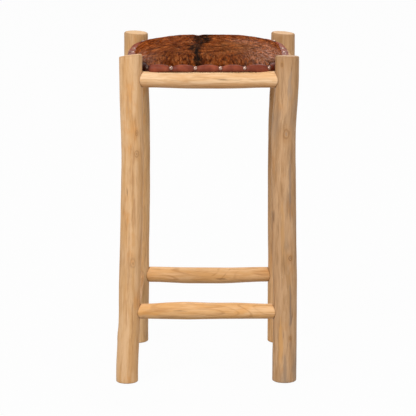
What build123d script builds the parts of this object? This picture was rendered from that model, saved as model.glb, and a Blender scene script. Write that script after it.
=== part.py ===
from build123d import *
from dataclasses import dataclass
import math
import os

# Rustic counter stool of sanded branch wood with a padded seat of hide.
# Four round posts stand at the corners and rise past the seat. Four seat rails near the top and
# four stretchers near the floor are scribed to the posts and held by flat tenons, whose ends are
# mitred where two of them meet inside a post. The seat is a plywood board with a foam pad under a
# hide. A leather strip with domed nails runs round its edge and round the inside of each post, and
# a screw from below holds the board to each rail. Each post stands on a small levelling glide.
# The stool stands on Z = 0 with its centre over the origin and its front towards -Y.

# Frame, all lengths in millimetres
post_spacing = 300.0
post_top_height = 650.0
stretcher_height = 145.0
front_left_diameter = 43.0
front_right_diameter = 47.0
back_left_diameter = 48.5
back_right_diameter = 48.0
seat_rail_diameter = 35.6
stretcher_diameter = 32.0
post_top_round = 3.5
post_foot_bevel = 3.0

# Joints between posts, rails and stretchers
seat_rail_tenon_width = 26.0
seat_rail_tenon_thickness = 12.0
stretcher_tenon_width = 20.0
stretcher_tenon_thickness = 10.0
tenon_clearance = 0.1
tenon_end_clearance = 1.0
mitre_gap = 0.6
shoulder_gap = 0.15

# Seat
post_rise = 30.0
board_thickness = 12.0
pad_base_rise = 0.5
pad_height = 38.5
pad_overhang = 10.0
post_notch_gap = 3.4
hide_thickness = 2.2
strip_thickness = 1.8
strip_width = 14.0
strip_butt_gap = 0.8
soft_gap = 0.2

# Domed nails and seat screws
nail_end_room = 32.5
nail_head_diameter = 9.5
nail_head_height = 3.0
nail_shank_side = 1.6
nail_shank_length = 12.0
nail_rise = 6.0
nail_seat_gap = 0.1
screw_shank_diameter = 4.4
screw_head_width = 8.0
screw_head_height = 3.6
screw_recess_diameter = 12.0
screw_recess_depth = 9.0
screw_bite = 8.5
screw_clearance = 0.08

# Levelling glides
glide_pad_width = 14.0
glide_pad_height = 4.0
glide_home_gap = 0.3
glide_turned_out = 1.7
glide_stem_diameter = 6.0
glide_stem_length = 22.0
glide_stem_clearance = 0.08
insert_width = 10.0
insert_length = 10.0
insert_clearance = 0.05

# Length by which every cutting solid passes the surface that it cuts
overrun = 4.0

# Derived heights and places
half_spacing = post_spacing / 2
pad_half = half_spacing + pad_overhang
board_bottom_height = post_top_height - post_rise
seat_rail_height = board_bottom_height - seat_rail_diameter / 2
board_top_height = board_bottom_height + board_thickness
pad_base_height = board_bottom_height + pad_base_rise
nail_height = pad_base_height + nail_rise
glide_head_clearance = glide_pad_height + glide_home_gap

# Turns, powers and counts
nail_tilt = 12.0
outline_power = 5.0
nail_count = 6
nail_side_count = 8
hexagon_count = 6
outline_count = 24
notch_count = 16
foot_bevel_count = 1
top_round_count = 2
nail_pitch = (post_spacing - 2 * nail_end_room) / (nail_count - 1)

# Posts from foot to top. Each row holds the height as a share of the post's length, then the
# sideways and the front-to-back offset of the centre and the width as shares of the diameter.
# Where two rows have the same offsets the post runs straight, as it does at its joints and ends.
post_ring_shares = {
    "front_left": (
        (0.00, -0.21, -0.02, 1.00),
        (0.05, -0.21, -0.02, 1.00),
        (0.18, -0.08, 0.01, 0.98),
        (0.26, -0.08, 0.01, 0.98),
        (0.45, 0.02, 0.02, 1.00),
        (0.70, 0.11, -0.03, 1.00),
        (0.90, 0.05, 0.00, 1.03),
        (1.00, 0.05, 0.00, 1.03),
    ),
    "front_right": (
        (0.00, 0.00, 0.01, 1.01),
        (0.05, 0.00, 0.01, 1.01),
        (0.18, 0.01, 0.00, 0.99),
        (0.26, 0.01, 0.00, 0.99),
        (0.46, -0.05, -0.02, 1.02),
        (0.77, -0.11, 0.03, 1.01),
        (0.90, 0.03, 0.00, 0.97),
        (1.00, 0.03, 0.00, 0.97),
    ),
    "back_left": (
        (0.00, -0.01, 0.01, 0.99),
        (0.05, -0.01, 0.01, 0.99),
        (0.18, 0.07, 0.00, 0.99),
        (0.26, 0.07, 0.00, 0.99),
        (0.47, 0.14, -0.01, 0.99),
        (0.72, 0.15, 0.02, 1.00),
        (0.90, 0.08, -0.01, 1.00),
        (1.00, 0.08, -0.01, 1.00),
    ),
    "back_right": (
        (0.00, 0.01, -0.01, 1.00),
        (0.05, 0.01, -0.01, 1.00),
        (0.18, -0.02, 0.01, 1.01),
        (0.26, -0.02, 0.01, 1.01),
        (0.44, -0.07, 0.01, 0.99),
        (0.72, -0.06, -0.02, 0.99),
        (0.90, 0.05, 0.01, 1.00),
        (1.00, 0.05, 0.01, 1.00),
    ),
}

# Rails and stretchers from their first post to their second. Each row holds the place along the
# span as a share of its length, then the offset of the centre across and upwards and the width as
# shares of the diameter.
span_ring_shares = {
    "seat_rail_front": (
        (0.00, 0.00, 0.00, 0.87),
        (0.17, 0.00, 0.00, 0.87),
        (0.30, 0.01, -0.01, 0.95),
        (0.43, 0.03, 0.00, 1.00),
        (0.58, 0.03, 0.00, 1.00),
        (0.71, 0.02, -0.01, 0.96),
        (0.83, 0.00, 0.00, 0.89),
        (1.00, 0.00, 0.00, 0.89),
    ),
    "seat_rail_back": (
        (0.00, 0.00, 0.00, 0.89),
        (0.17, 0.00, 0.00, 0.89),
        (0.30, -0.01, -0.01, 0.94),
        (0.44, -0.02, 0.00, 1.00),
        (0.58, -0.02, 0.00, 1.00),
        (0.70, -0.01, -0.01, 0.95),
        (0.83, 0.00, 0.00, 0.88),
        (1.00, 0.00, 0.00, 0.88),
    ),
    "seat_rail_left": (
        (0.00, 0.00, 0.00, 0.88),
        (0.17, 0.00, 0.00, 0.88),
        (0.28, 0.02, -0.01, 0.94),
        (0.41, 0.03, 0.00, 1.00),
        (0.57, 0.03, 0.00, 1.00),
        (0.70, 0.01, -0.01, 0.97),
        (0.83, 0.00, 0.00, 0.90),
        (1.00, 0.00, 0.00, 0.90),
    ),
    "seat_rail_right": (
        (0.00, 0.00, 0.00, 0.88),
        (0.17, 0.00, 0.00, 0.88),
        (0.30, 0.02, -0.01, 0.96),
        (0.44, 0.03, 0.00, 1.00),
        (0.60, 0.03, 0.00, 1.00),
        (0.71, 0.01, -0.01, 0.94),
        (0.83, 0.00, 0.00, 0.89),
        (1.00, 0.00, 0.00, 0.89),
    ),
    "stretcher_front": (
        (0.00, 0.00, 0.00, 0.92),
        (0.14, 0.00, 0.00, 0.92),
        (0.25, -0.02, 0.03, 1.02),
        (0.36, -0.02, 0.04, 1.08),
        (0.52, -0.01, 0.03, 1.00),
        (0.70, 0.02, 0.03, 0.99),
        (0.86, 0.00, 0.00, 0.92),
        (1.00, 0.00, 0.00, 0.92),
    ),
    "stretcher_back": (
        (0.00, 0.00, 0.00, 0.99),
        (0.14, 0.00, 0.00, 0.99),
        (0.36, 0.02, -0.07, 1.04),
        (0.60, -0.01, -0.08, 1.03),
        (0.86, 0.00, 0.00, 0.95),
        (1.00, 0.00, 0.00, 0.95),
    ),
    "stretcher_left": (
        (0.00, 0.00, 0.00, 0.93),
        (0.14, 0.00, 0.00, 0.93),
        (0.38, -0.04, -0.06, 1.01),
        (0.64, 0.00, -0.10, 1.04),
        (0.86, 0.00, 0.00, 1.00),
        (1.00, 0.00, 0.00, 1.00),
    ),
    "stretcher_right": (
        (0.00, 0.00, 0.00, 0.98),
        (0.14, 0.00, 0.00, 0.98),
        (0.40, 0.04, 0.04, 1.04),
        (0.66, 0.02, -0.05, 1.02),
        (0.86, 0.00, 0.00, 0.96),
        (1.00, 0.00, 0.00, 0.96),
    ),
}

# Rings of a domed nail's head from its rim to its crown: its width and its height as shares
nail_ring_shares = ((1.0, 0.0), (0.8, 0.66), (0.3, 1.0))

# Levels of the padded seat from its lower edge to its crown, as shares of the pad's height. The
# side between them follows a quarter of a superellipse, which bulges more as its power grows.
pad_level_shares = (0.0, 0.18, 0.36, 0.62, 0.84, 0.96)
pad_bulge_power = 3.5


@dataclass
class Log:
    """A sanded branch: rings of uneven width along a straight line between two points."""

    start: Vector
    end: Vector
    diameter: float
    ring_shares: tuple

    def frame(self):
        """The plane at the start, facing along the log, with its Y axis as near up as it can be."""
        along = (self.end - self.start).normalized()
        upright = abs(along.Z) > abs(along.X) + abs(along.Y)
        across = Vector(1, 0, 0) if upright else Vector(0, 0, 1).cross(along)
        return Plane(origin=self.start, x_dir=across, z_dir=along)

    def length(self):
        return (self.end - self.start).length

    def ring_at(self, share):
        """Offsets and width at a share of the length, between the two nearest rings."""
        for low, high in zip(self.ring_shares, self.ring_shares[1:]):
            if share <= high[0]:
                break
        part = (share - low[0]) / (high[0] - low[0])
        mixed_shares = [a + (b - a) * part for a, b in zip(low[1:], high[1:])]
        return [value * self.diameter for value in mixed_shares]

    def centre_at(self, share):
        """The point on the crooked centre line at a share of the length."""
        across, upward, _ = self.ring_at(share)
        return self.frame().from_local_coords(Vector(across, upward, share * self.length()))

    def ring_centre(self, ring):
        """The centre of a ring in the branch's own frame."""
        return Vector(ring[1] * self.diameter, ring[2] * self.diameter, ring[0] * self.length())

    def piece(self, low, high, grow):
        """The branch between two rings: a cylinder where it runs straight, else a loft."""
        radii = [ring[3] * self.diameter / 2 + grow for ring in (low, high)]
        if low[1:] == high[1:]:
            on_ring = (Align.CENTER, Align.CENTER, Align.MIN)
            length = (high[0] - low[0]) * self.length()
            return Pos(*self.ring_centre(low)) * Cylinder(radii[0], length, align=on_ring)
        places = [Pos(*self.ring_centre(ring)) for ring in (low, high)]
        return loft([place * Circle(radius) for place, radius in zip(places, radii)], ruled=True)

    def solid(self, grow=0.0):
        """The whole branch, thicker all round by grow."""
        pairs = zip(self.ring_shares, self.ring_shares[1:])
        pieces = [self.piece(low, high, grow) for low, high in pairs]
        return self.frame() * (Part() + pieces)

    def end_waste(self, ring, inward, rounding, steps):
        """What rounding an end takes away: a ring with a stepped quarter circle inside."""
        radius = ring[3] * self.diameter / 2
        corners = []
        for step in range(steps + 1):
            turn = math.radians(90 * step / steps)
            out = radius - rounding * (1 - math.cos(turn))
            corners.append(Vector(out, inward * rounding * (1 - math.sin(turn))))
        outside = radius + overrun
        beyond = -inward * overrun
        corners.append(Vector(corners[-1].X, beyond))
        corners.append(Vector(outside, beyond))
        corners.append(Vector(outside, corners[0].Y))
        profile = Plane.XZ * make_face(Polyline(*corners, close=True))
        return self.frame() * (Pos(*self.ring_centre(ring)) * revolve(profile, Axis.Z))


@dataclass
class Post(Log):
    """A post, with the sides of the stool that it stands at: -1 or 1 across and in depth."""

    side_x: int
    side_y: int

    def centre_at_height(self, height):
        return self.centre_at((height - self.start.Z) / self.length())

    def radius_at_height(self, height):
        return self.ring_at((height - self.start.Z) / self.length())[2] / 2


def make_posts():
    """The four posts by corner name. The front right one is cut short by its glide's turn."""
    diameters = {
        "front_left": front_left_diameter,
        "front_right": front_right_diameter,
        "back_left": back_left_diameter,
        "back_right": back_right_diameter,
    }
    posts = {}
    for corner, diameter in diameters.items():
        side_x = -1 if corner.endswith("left") else 1
        side_y = -1 if corner.startswith("front") else 1
        foot = glide_head_clearance
        if corner == "front_right":
            foot = foot + glide_turned_out
        start = Vector(side_x * half_spacing, side_y * half_spacing, foot)
        end = Vector(side_x * half_spacing, side_y * half_spacing, post_top_height)
        posts[corner] = Post(start, end, diameter, post_ring_shares[corner], side_x, side_y)
    return posts


def span_between(name, posts, first, second, height, diameter):
    """A rail or stretcher between the centres of two posts at a height."""
    start = posts[first].centre_at_height(height)
    end = posts[second].centre_at_height(height)
    return Log(start, end, diameter, span_ring_shares[name])


def make_spans(posts):
    """Rails and stretchers by node name, each with its two posts and its tenon's two sides."""
    rail_tenon = (seat_rail_tenon_thickness, seat_rail_tenon_width)
    stretcher_tenon = (stretcher_tenon_thickness, stretcher_tenon_width)
    kinds = (
        ("seat_rail", seat_rail_height, seat_rail_diameter, rail_tenon),
        ("stretcher", stretcher_height, stretcher_diameter, stretcher_tenon),
    )
    ends = {
        "front": ("front_left", "front_right"),
        "back": ("back_left", "back_right"),
        "left": ("front_left", "back_left"),
        "right": ("front_right", "back_right"),
    }
    spans = {}
    for kind, height, diameter, tenon in kinds:
        for side, (first, second) in ends.items():
            name = f"{kind}_{side}"
            log = span_between(name, posts, first, second, height, diameter)
            spans[name] = (log, first, second, tenon)
    return spans


def rod(plane, radius, low, high):
    """A round rod along a plane's Z axis from low to high."""
    return plane * (Pos(0, 0, (low + high) / 2) * Cylinder(radius, high - low))


def bar(log, at_end, sides, beyond, reach):
    """A flat bar along one end of a span, from beyond its end point to a reach inside it."""
    length = beyond + reach
    middle = (reach - beyond) / 2
    if at_end:
        middle = log.length() - middle
    return log.frame() * (Pos(0, 0, middle) * Box(sides[0], sides[1], length))


def mortise(log, at_end, tenon, reach):
    """The blind hole for one tenon of a span, open towards the span's middle."""
    sides = [side + 2 * tenon_clearance for side in tenon]
    return bar(log, at_end, sides, tenon[0] / 2 + tenon_end_clearance, reach)


def mitred_tenon(log, at_end, tenon, reach, post):
    """A flat tenon that passes the post's centre and is mitred against its neighbour."""
    peg = bar(log, at_end, tenon, tenon[0] / 2, reach)
    centre = log.end if at_end else log.start
    along = (log.end - log.start).normalized()
    runs_across = abs(along.X) > abs(along.Y)
    turn = 1 if runs_across else -1
    facing = Vector(-turn * post.side_x, turn * post.side_y, 0).normalized()
    cut = Plane(origin=centre + facing * (mitre_gap / 2), z_dir=facing)
    return split(peg, bisect_by=cut, keep=Keep.TOP)


def make_span_solid(log, first, second, tenon):
    """A rail or stretcher with shoulders scribed to both posts and a mitred tenon at each end."""
    body = log.solid() - first.solid(shoulder_gap) - second.solid(shoulder_gap)
    for post, at_end in ((first, False), (second, True)):
        reach = post.diameter / 2 + overrun
        body = body + mitred_tenon(log, at_end, tenon, reach, post)
    return body


def screw_feet(spans):
    """The lowest point of each seat rail's thickest part, where its seat screw enters."""
    feet = []
    for name, (log, *_) in spans.items():
        if name.startswith("seat_rail"):
            centre = log.centre_at(0.5)
            feet.append(Vector(centre.X, centre.Y, centre.Z - log.diameter / 2))
    return feet


def screw_shank(foot, clearance):
    """A seat screw's shank from its head into the board, thicker all round by a clearance."""
    upright = Plane(origin=(foot.X, foot.Y, 0))
    tip = board_bottom_height + screw_bite + clearance
    return rod(upright, screw_shank_diameter / 2 + clearance, foot.Z + screw_recess_depth, tip)


def make_screws(spans):
    """Hexagon-head wood screws from below, one through each seat rail."""
    screws = []
    for foot in screw_feet(spans):
        hexagon = RegularPolygon(screw_head_width / 2, hexagon_count, major_radius=False)
        low = foot.Z + screw_recess_depth - screw_head_height
        head = Pos(foot.X, foot.Y, low) * extrude(hexagon, screw_head_height)
        screws.append(head + screw_shank(foot, 0.0))
    return Compound(children=screws)


def screw_room(spans):
    """Everything that is drilled for the seat screws, recesses included."""
    room = []
    for foot in screw_feet(spans):
        upright = Plane(origin=(foot.X, foot.Y, 0))
        seat = foot.Z + screw_recess_depth
        recess = rod(upright, screw_recess_diameter / 2, foot.Z - overrun, seat)
        room.append(recess + screw_shank(foot, screw_clearance))
    return room


def glide_plane(post):
    """The plane at floor height under a post's foot."""
    foot = post.centre_at(0.0)
    return Plane(origin=(foot.X, foot.Y, 0))


def hexagon_bar(post, width, low, high):
    """A hexagonal bar, upright under a post's foot, between two heights."""
    hexagon = RegularPolygon(width / 2, hexagon_count, major_radius=False)
    return glide_plane(post) * Pos(0, 0, low) * extrude(hexagon, high - low)


def foot_bore(post):
    """The pocket in a post's foot for its insert and the hole above it for the stem."""
    foot = post.start.Z
    width = insert_width + 2 * insert_clearance
    pocket = hexagon_bar(post, width, foot - overrun, foot + insert_length)
    radius = glide_stem_diameter / 2 + glide_stem_clearance
    return pocket + rod(glide_plane(post), radius, foot, foot + glide_stem_length)


def make_insert(post):
    """The hexagonal nut, let into a post's foot, that a glide screws into."""
    foot = post.start.Z
    nut = hexagon_bar(post, insert_width, foot, foot + insert_length)
    radius = glide_stem_diameter / 2 + glide_stem_clearance
    return nut - rod(glide_plane(post), radius, foot - overrun, foot + insert_length + overrun)


def make_glide_stem(post):
    """The screw of a glide, standing on its pad."""
    top = glide_pad_height + glide_stem_length
    return rod(glide_plane(post), glide_stem_diameter / 2, glide_pad_height, top)


def make_glide_pad(post):
    """The hexagonal pad of a glide."""
    return hexagon_bar(post, glide_pad_width, 0.0, glide_pad_height)


def make_leg(corner, posts, spans):
    """A post with rounded ends, four mortises and the bore for its glide."""
    post = posts[corner]
    body = post.solid()
    body = body - post.end_waste(post.ring_shares[0], 1, post_foot_bevel, foot_bevel_count)
    body = body - post.end_waste(post.ring_shares[-1], -1, post_top_round, top_round_count)
    for log, first, second, tenon in spans.values():
        reach = post.diameter / 2 + overrun
        if corner in (first, second):
            body = body - mortise(log, corner == second, tenon, reach)
    return body - foot_bore(post)


def faceted(rings):
    """A closed solid of flat faces through rings of equally many corners, from low to high."""
    outlines = [rings[0], rings[-1]]
    for low, high in zip(rings, rings[1:]):
        for index, corner in enumerate(low):
            outlines.append([low[index - 1], corner, high[index], high[index - 1]])
    return Solid(Shell([Face(Wire.make_polygon(outline)) for outline in outlines]))


def seat_outline(half, height):
    """The seat's outline at a height: a square with bowed sides, after a superellipse."""
    corners = []
    for index in range(outline_count):
        turn = 2 * math.pi * index / outline_count
        across, back = math.cos(turn), math.sin(turn)
        across = math.copysign(abs(across) ** (2 / outline_power), across)
        back = math.copysign(abs(back) ** (2 / outline_power), back)
        corners.append(Vector(across * half, back * half, height))
    return corners


def round_outline(centre, radius, height, count):
    """A circle's outline of so many corners at a height."""
    corners = []
    for index in range(count):
        turn = 2 * math.pi * index / count
        out = Vector(radius * math.cos(turn), radius * math.sin(turn), height)
        corners.append(Vector(centre.X, centre.Y, 0) + out)
    return corners


def pad_levels(grow):
    """How far the pad is drawn in and how high it stands, level by level, when it grows."""
    levels = []
    for share in pad_level_shares:
        drawn_share = 1 - (1 - share**2) ** (1 / pad_bulge_power)
        levels.append((drawn_share * pad_half - grow, pad_base_height + share * (pad_height + grow)))
    return levels


def notch_cutter(post, levels, sink):
    """The space round a post that the pad keeps clear of, widening as the pad rounds over."""
    radius = post.radius_at_height(board_top_height) + post_notch_gap + strip_thickness
    centre = post.centre_at_height(board_top_height)
    rings = [(radius + drawn, height) for drawn, height in levels]
    rings.insert(0, (rings[0][0], rings[0][1] - sink))
    rings.append((rings[-1][0], rings[-1][1] + pad_height))
    return faceted([round_outline(centre, reach, height, notch_count) for reach, height in rings])


def pad_form(posts, grow, sink=0.0):
    """The crowned seat pad with a notch for each post, larger all round by grow."""
    levels = pad_levels(grow)
    rings = [seat_outline(pad_half - drawn, height) for drawn, height in levels]
    if sink:
        rings.insert(0, seat_outline(pad_half - levels[0][0], levels[0][1] - sink))
    form = faceted(rings)
    for post in posts.values():
        form = form - notch_cutter(post, levels, sink + overrun)
    return form


def slab(low, high):
    """A flat slab wider than the seat between two heights."""
    width = 2 * (pad_half + overrun)
    flat = (Align.CENTER, Align.CENTER, Align.MIN)
    return Pos(0, 0, low) * Box(width, width, high - low, align=flat)


def make_seat(posts):
    """Board, foam, hide and edge strip, cut from one pad form at growing sizes."""
    filling = pad_form(posts, -(hide_thickness + soft_gap), overrun)
    board = filling & slab(board_bottom_height, board_top_height)
    crown = pad_base_height + pad_height + overrun
    foam = filling & slab(board_top_height + soft_gap, crown)
    outside = pad_form(posts, 0.0)
    hide = outside - pad_form(posts, -hide_thickness, overrun)
    band = pad_form(posts, strip_thickness + soft_gap) - pad_form(posts, soft_gap, overrun)
    strip = band & slab(pad_base_height, pad_base_height + strip_width)
    butt = Pos(0, pad_half, pad_base_height) * Box(strip_butt_gap, 2 * strip_width, 4 * strip_width)
    return {"seat_board": board, "foam_pad": foam, "hide_cover": hide, "edge_strip": strip - butt}


def make_nail():
    """A domed nail with a square shank, its head seated on the XY plane and its shank below."""
    axis = Vector(0, 0, 0)
    rings = []
    for width_share, height_share in nail_ring_shares:
        radius = width_share * nail_head_diameter / 2
        rings.append(round_outline(axis, radius, height_share * nail_head_height, nail_side_count))
    low = (Align.CENTER, Align.CENTER, Align.MAX)
    return faceted(rings) + Box(nail_shank_side, nail_shank_side, nail_shank_length, align=low)


def side_bow(offset):
    """How far the pad's side has come in from its middle at an offset along it."""
    return pad_half * (1 - (1 - (offset / pad_half) ** outline_power) ** (1 / outline_power))


def nail_planes(side):
    """The plane of each nail head of one side, facing out of the strip."""
    turn = {"front": 0.0, "right": 90.0, "back": 180.0, "left": 270.0}[side]
    face = pad_half + soft_gap + strip_thickness + nail_seat_gap
    tilt = math.radians(nail_tilt)
    planes = []
    for index in range(nail_count):
        offset = (index - (nail_count - 1) / 2) * nail_pitch
        spot = Vector(offset, side_bow(abs(offset)) - face, nail_height)
        facing = Vector(0, -math.cos(tilt), math.sin(tilt))
        planes.append(Plane(origin=spot.rotate(Axis.Z, turn), z_dir=facing.rotate(Axis.Z, turn)))
    return planes


def make_nails(side):
    """The nails of one side as a group of separate solids."""
    nail = make_nail()
    return Compound(children=[plane * nail for plane in nail_planes(side)])


def write(name, shape):
    """Writes one sub-part to its own file."""
    export_step(shape, f"parts/{name}.step")


def main():
    os.makedirs("parts", exist_ok=True)
    posts = make_posts()
    spans = make_spans(posts)
    for corner in posts:
        write(f"leg_{corner}", make_leg(corner, posts, spans))
    for name, (log, first, second, tenon) in spans.items():
        body = make_span_solid(log, posts[first], posts[second], tenon)
        if name.startswith("seat_rail"):
            for drilled in screw_room({name: spans[name]}):
                body = body - drilled
        write(name, body)
    for name, shape in make_seat(posts).items():
        write(name, shape)
    for side in ("front", "back", "left", "right"):
        write(f"nails_{side}", make_nails(side))
    write("seat_screws", make_screws(spans))
    write("leg_inserts", Compound(children=[make_insert(post) for post in posts.values()]))
    for corner, post in posts.items():
        write(f"glide_stem_{corner}", make_glide_stem(post))
        write(f"glide_pad_{corner}", make_glide_pad(post))


if __name__ == "__main__":
    main()
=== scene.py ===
"""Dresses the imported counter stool: sanded branch wood, a hair-on hide seat, a leather strip and nails."""

import logging
import math
from collections.abc import Callable
from dataclasses import dataclass, field, replace
from enum import Enum

import bmesh
import bpy
import numpy as np
from mathutils import Matrix, Vector, noise
from mathutils.bvhtree import BVHTree


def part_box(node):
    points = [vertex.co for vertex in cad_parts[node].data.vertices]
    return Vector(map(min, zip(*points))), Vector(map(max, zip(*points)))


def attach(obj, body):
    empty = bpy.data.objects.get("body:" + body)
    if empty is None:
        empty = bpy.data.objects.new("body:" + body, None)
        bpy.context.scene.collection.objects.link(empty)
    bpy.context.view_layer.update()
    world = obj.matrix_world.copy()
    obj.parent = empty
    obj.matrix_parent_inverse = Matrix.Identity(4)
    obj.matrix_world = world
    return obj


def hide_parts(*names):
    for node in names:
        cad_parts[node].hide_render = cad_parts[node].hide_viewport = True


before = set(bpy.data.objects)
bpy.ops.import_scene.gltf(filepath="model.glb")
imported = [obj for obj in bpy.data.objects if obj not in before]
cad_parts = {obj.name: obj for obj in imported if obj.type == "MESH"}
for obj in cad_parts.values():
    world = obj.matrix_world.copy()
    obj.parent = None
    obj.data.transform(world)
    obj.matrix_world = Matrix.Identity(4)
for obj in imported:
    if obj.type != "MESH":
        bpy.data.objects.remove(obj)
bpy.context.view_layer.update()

MM = 0.001
ROOT = "stool"
FULL_TURN = 2 * math.pi
WELD = 1e-6
WHITE = (1.0, 1.0, 1.0, 1.0)
Socket = bpy.types.NodeSocket
Object = bpy.types.Object
Material = bpy.types.Material
Array = np.ndarray
Chance = np.random.Generator
log = logging.getLogger("stool")


class Finish(Enum):
    """Names of the record's material slots; no piece in this script is given them."""

    WOOD = "branch_wood"
    PLYWOOD = "plywood"
    FOAM = "foam"
    HIDE = "hide"
    STRIP = "leather_strip"
    NAIL = "nail_metal"
    PLASTIC = "glide_plastic"


class Corner(Enum):
    """The four posts."""

    FRONT_LEFT = "front_left"
    FRONT_RIGHT = "front_right"
    BACK_LEFT = "back_left"
    BACK_RIGHT = "back_right"


class Side(Enum):
    """The four sides of the stool."""

    FRONT = "front"
    BACK = "back"
    LEFT = "left"
    RIGHT = "right"


def linear(code: str) -> tuple[float, float, float, float]:
    """Turns a colour such as "#c08040" into linear light.

    Args:
        code: the colour as six hexadecimal digits after a hash sign.

    Returns:
        Red, green, blue and an alpha of 1.
    """
    parts = [int(code[i : i + 2], 16) / 255 for i in (1, 3, 5)]
    light = [p / 12.92 if p <= 0.04045 else ((p + 0.055) / 1.055) ** 2.4 for p in parts]
    return (light[0], light[1], light[2], 1.0)


class Nodes:
    """Builds the node tree of a material or of the world."""

    def __init__(self, name: str, world: bool = False) -> None:
        """Starts a material with a principled shader, or a world with a background.

        Args:
            name: its name.
            world: whether it is a world.
        """
        self.owner = (bpy.data.worlds if world else bpy.data.materials).new(name)
        self.owner.use_nodes = True
        self.tree = self.owner.node_tree
        self.shader = self.tree.nodes["Background" if world else "Principled BSDF"]
        self.output = self.tree.nodes["World Output" if world else "Material Output"]

    def give(self, target: Socket, value: Socket | float | tuple | str) -> None:
        """Links a socket to another, or sets it.

        Args:
            target: the socket that receives.
            value: a socket, a number, a vector or a colour such as "#c08040".
        """
        if isinstance(value, Socket):
            self.tree.links.new(value, target)
        else:
            target.default_value = linear(value) if isinstance(value, str) else value

    def add(self, kind: str, *values: Socket | float, **settings) -> bpy.types.Node:
        """Adds a node, sets its properties and fills its sockets.

        Args:
            kind: the node's type name after ShaderNode.
            values: what its first sockets are given, in order.
            settings: its properties, and sockets by name with _ for a space.

        Returns:
            The new node.
        """
        node = self.tree.nodes.new("ShaderNode" + kind)
        for key, value in settings.items():
            if hasattr(node, key):
                setattr(node, key, value)
            else:
                self.give(node.inputs[key.replace("_", " ")], value)
        for target, value in zip(node.inputs, values):
            self.give(target, value)
        return node

    def set(self, **values) -> None:
        """Gives sockets of the shader a value or a link, by name with _ for a space."""
        for key, value in values.items():
            self.give(self.shader.inputs[key.replace("_", " ")], value)

    def attribute(self, name: str, output: str = "Fac") -> Socket:
        """Reads an attribute of the mesh."""
        return self.add("Attribute", attribute_name=name).outputs[output]

    def space(self, attribute: str = "", scale: tuple = (1, 1, 1), move: tuple = (0, 0, 0)) -> Socket:
        """Gives pattern coordinates, from an attribute or from the object.

        Args:
            attribute: the vector attribute to read, or nothing for Object coordinates.
            scale: how much each axis is multiplied.
            move: how far the pattern is shifted after that.

        Returns:
            The coordinates' socket.
        """
        source = self.attribute(attribute, "Vector") if attribute else self.add("TexCoord").outputs["Object"]
        return self.add("Mapping", Vector=source, Scale=scale, Location=move).outputs["Vector"]

    def noise(
        self, space: Socket, scale: float, detail: float, rough: float = 0.5, warp: float = 0.0
    ) -> Socket:
        """A noise pattern from 0 to 1.

        Args:
            space: the coordinates to read.
            scale: how fine the pattern is.
            detail: how many finer layers it has.
            rough: how strong the finer layers are.
            warp: how far it is distorted.

        Returns:
            The pattern's socket.
        """
        sizes = {"Scale": scale, "Detail": detail, "Roughness": rough, "Distortion": warp}
        return self.add("TexNoise", Vector=space, **sizes).outputs["Fac"]

    def fit(
        self, value: Socket, low: float, high: float, out_low: float = 0.0, out_high: float = 1.0
    ) -> Socket:
        """Maps a range of a value to another, clamped and smooth at both ends.

        Args:
            value: the value to map.
            low: where the range starts.
            high: where it ends.
            out_low: what low becomes.
            out_high: what high becomes.

        Returns:
            The mapped value's socket.
        """
        ends = {"From_Min": low, "From_Max": high, "To_Min": out_low, "To_Max": out_high}
        return self.add("MapRange", interpolation_type="SMOOTHSTEP", Value=value, **ends).outputs["Result"]

    def work_out(self, operation: str, first: Socket, second: Socket | float = 0.0) -> Socket:
        """One step of arithmetic, named as the Math node names it, on a value and a second one."""
        return self.add("Math", first, second, operation=operation).outputs["Value"]

    def blend(self, share: Socket, first: Socket | str, second: Socket | str) -> Socket:
        """Mixes two colours.

        Args:
            share: how much of the second is used.
            first: the first colour.
            second: the second colour.

        Returns:
            The mixed colour's socket.
        """
        node = self.add("Mix", data_type="RGBA", Factor=share)
        self.give(node.inputs[6], first)
        self.give(node.inputs[7], second)
        return node.outputs[2]

    def bump(self, height: Socket, strength: float, depth: float) -> None:
        """Raises the surface by a pattern, by a strength from 0 to 1 and a depth in metres."""
        node = self.add("Bump", Strength=strength, Distance=depth, Height=height)
        self.set(Normal=node.outputs["Normal"])


def ragged_distance(n: Nodes, centre: tuple, squash: float, uneven: Socket) -> Socket:
    """The distance from a point of the straightened log.

    Args:
        n: the material's nodes.
        centre: the point.
        squash: a share that lengths along the log are multiplied by.
        uneven: what is added to the distance to make its edge ragged.

    Returns:
        The distance's socket.
    """
    flat = n.space("grain", (1, 1, squash), (-centre[0], -centre[1], -centre[2] * squash))
    return n.work_out("ADD", n.add("VectorMath", flat, operation="LENGTH").outputs["Value"], uneven)


@dataclass(frozen=True)
class Knot:
    """A knot: its place along the log as a share, its turn in degrees and its sizes in millimetres."""

    along: float
    turn: float
    radius: float
    rise: float
    depth: float = 0.6
    heart: str = "#5c432f"

    def paint(self, n: Nodes, tone: Socket, place: "Log") -> Socket:
        """Paints a dark heart, a ring and a swirl of darker wood round it.

        Args:
            n: the material's nodes.
            tone: the wood's colour so far.
            place: the log that the knot is on.

        Returns:
            The colour with the knot.
        """
        radius = self.radius * MM
        centre = place.grain_at(self.along, math.radians(self.turn))
        uneven = n.noise(n.space("grain", (1, 1, 0.5), centre), 190, 2)
        far = ragged_distance(n, centre, 0.62, n.fit(uneven, 0, 1, -0.25 * radius, 0.25 * radius))
        tone = n.blend(n.fit(far, radius * 2.6, radius * 0.9, 0.0, 0.40 * self.depth), tone, "#a9763f")
        outer, inner = n.fit(far, radius * 1.1, radius * 0.85), n.fit(far, radius * 0.5, radius * 0.7)
        ring = n.work_out("MULTIPLY", n.work_out("MULTIPLY", outer, inner), 0.5 * self.depth)
        tone = n.blend(ring, tone, "#6d4526")
        return n.blend(n.fit(far, radius * 0.45, radius * 0.15, 0.0, 0.65 * self.depth), tone, self.heart)


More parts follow.
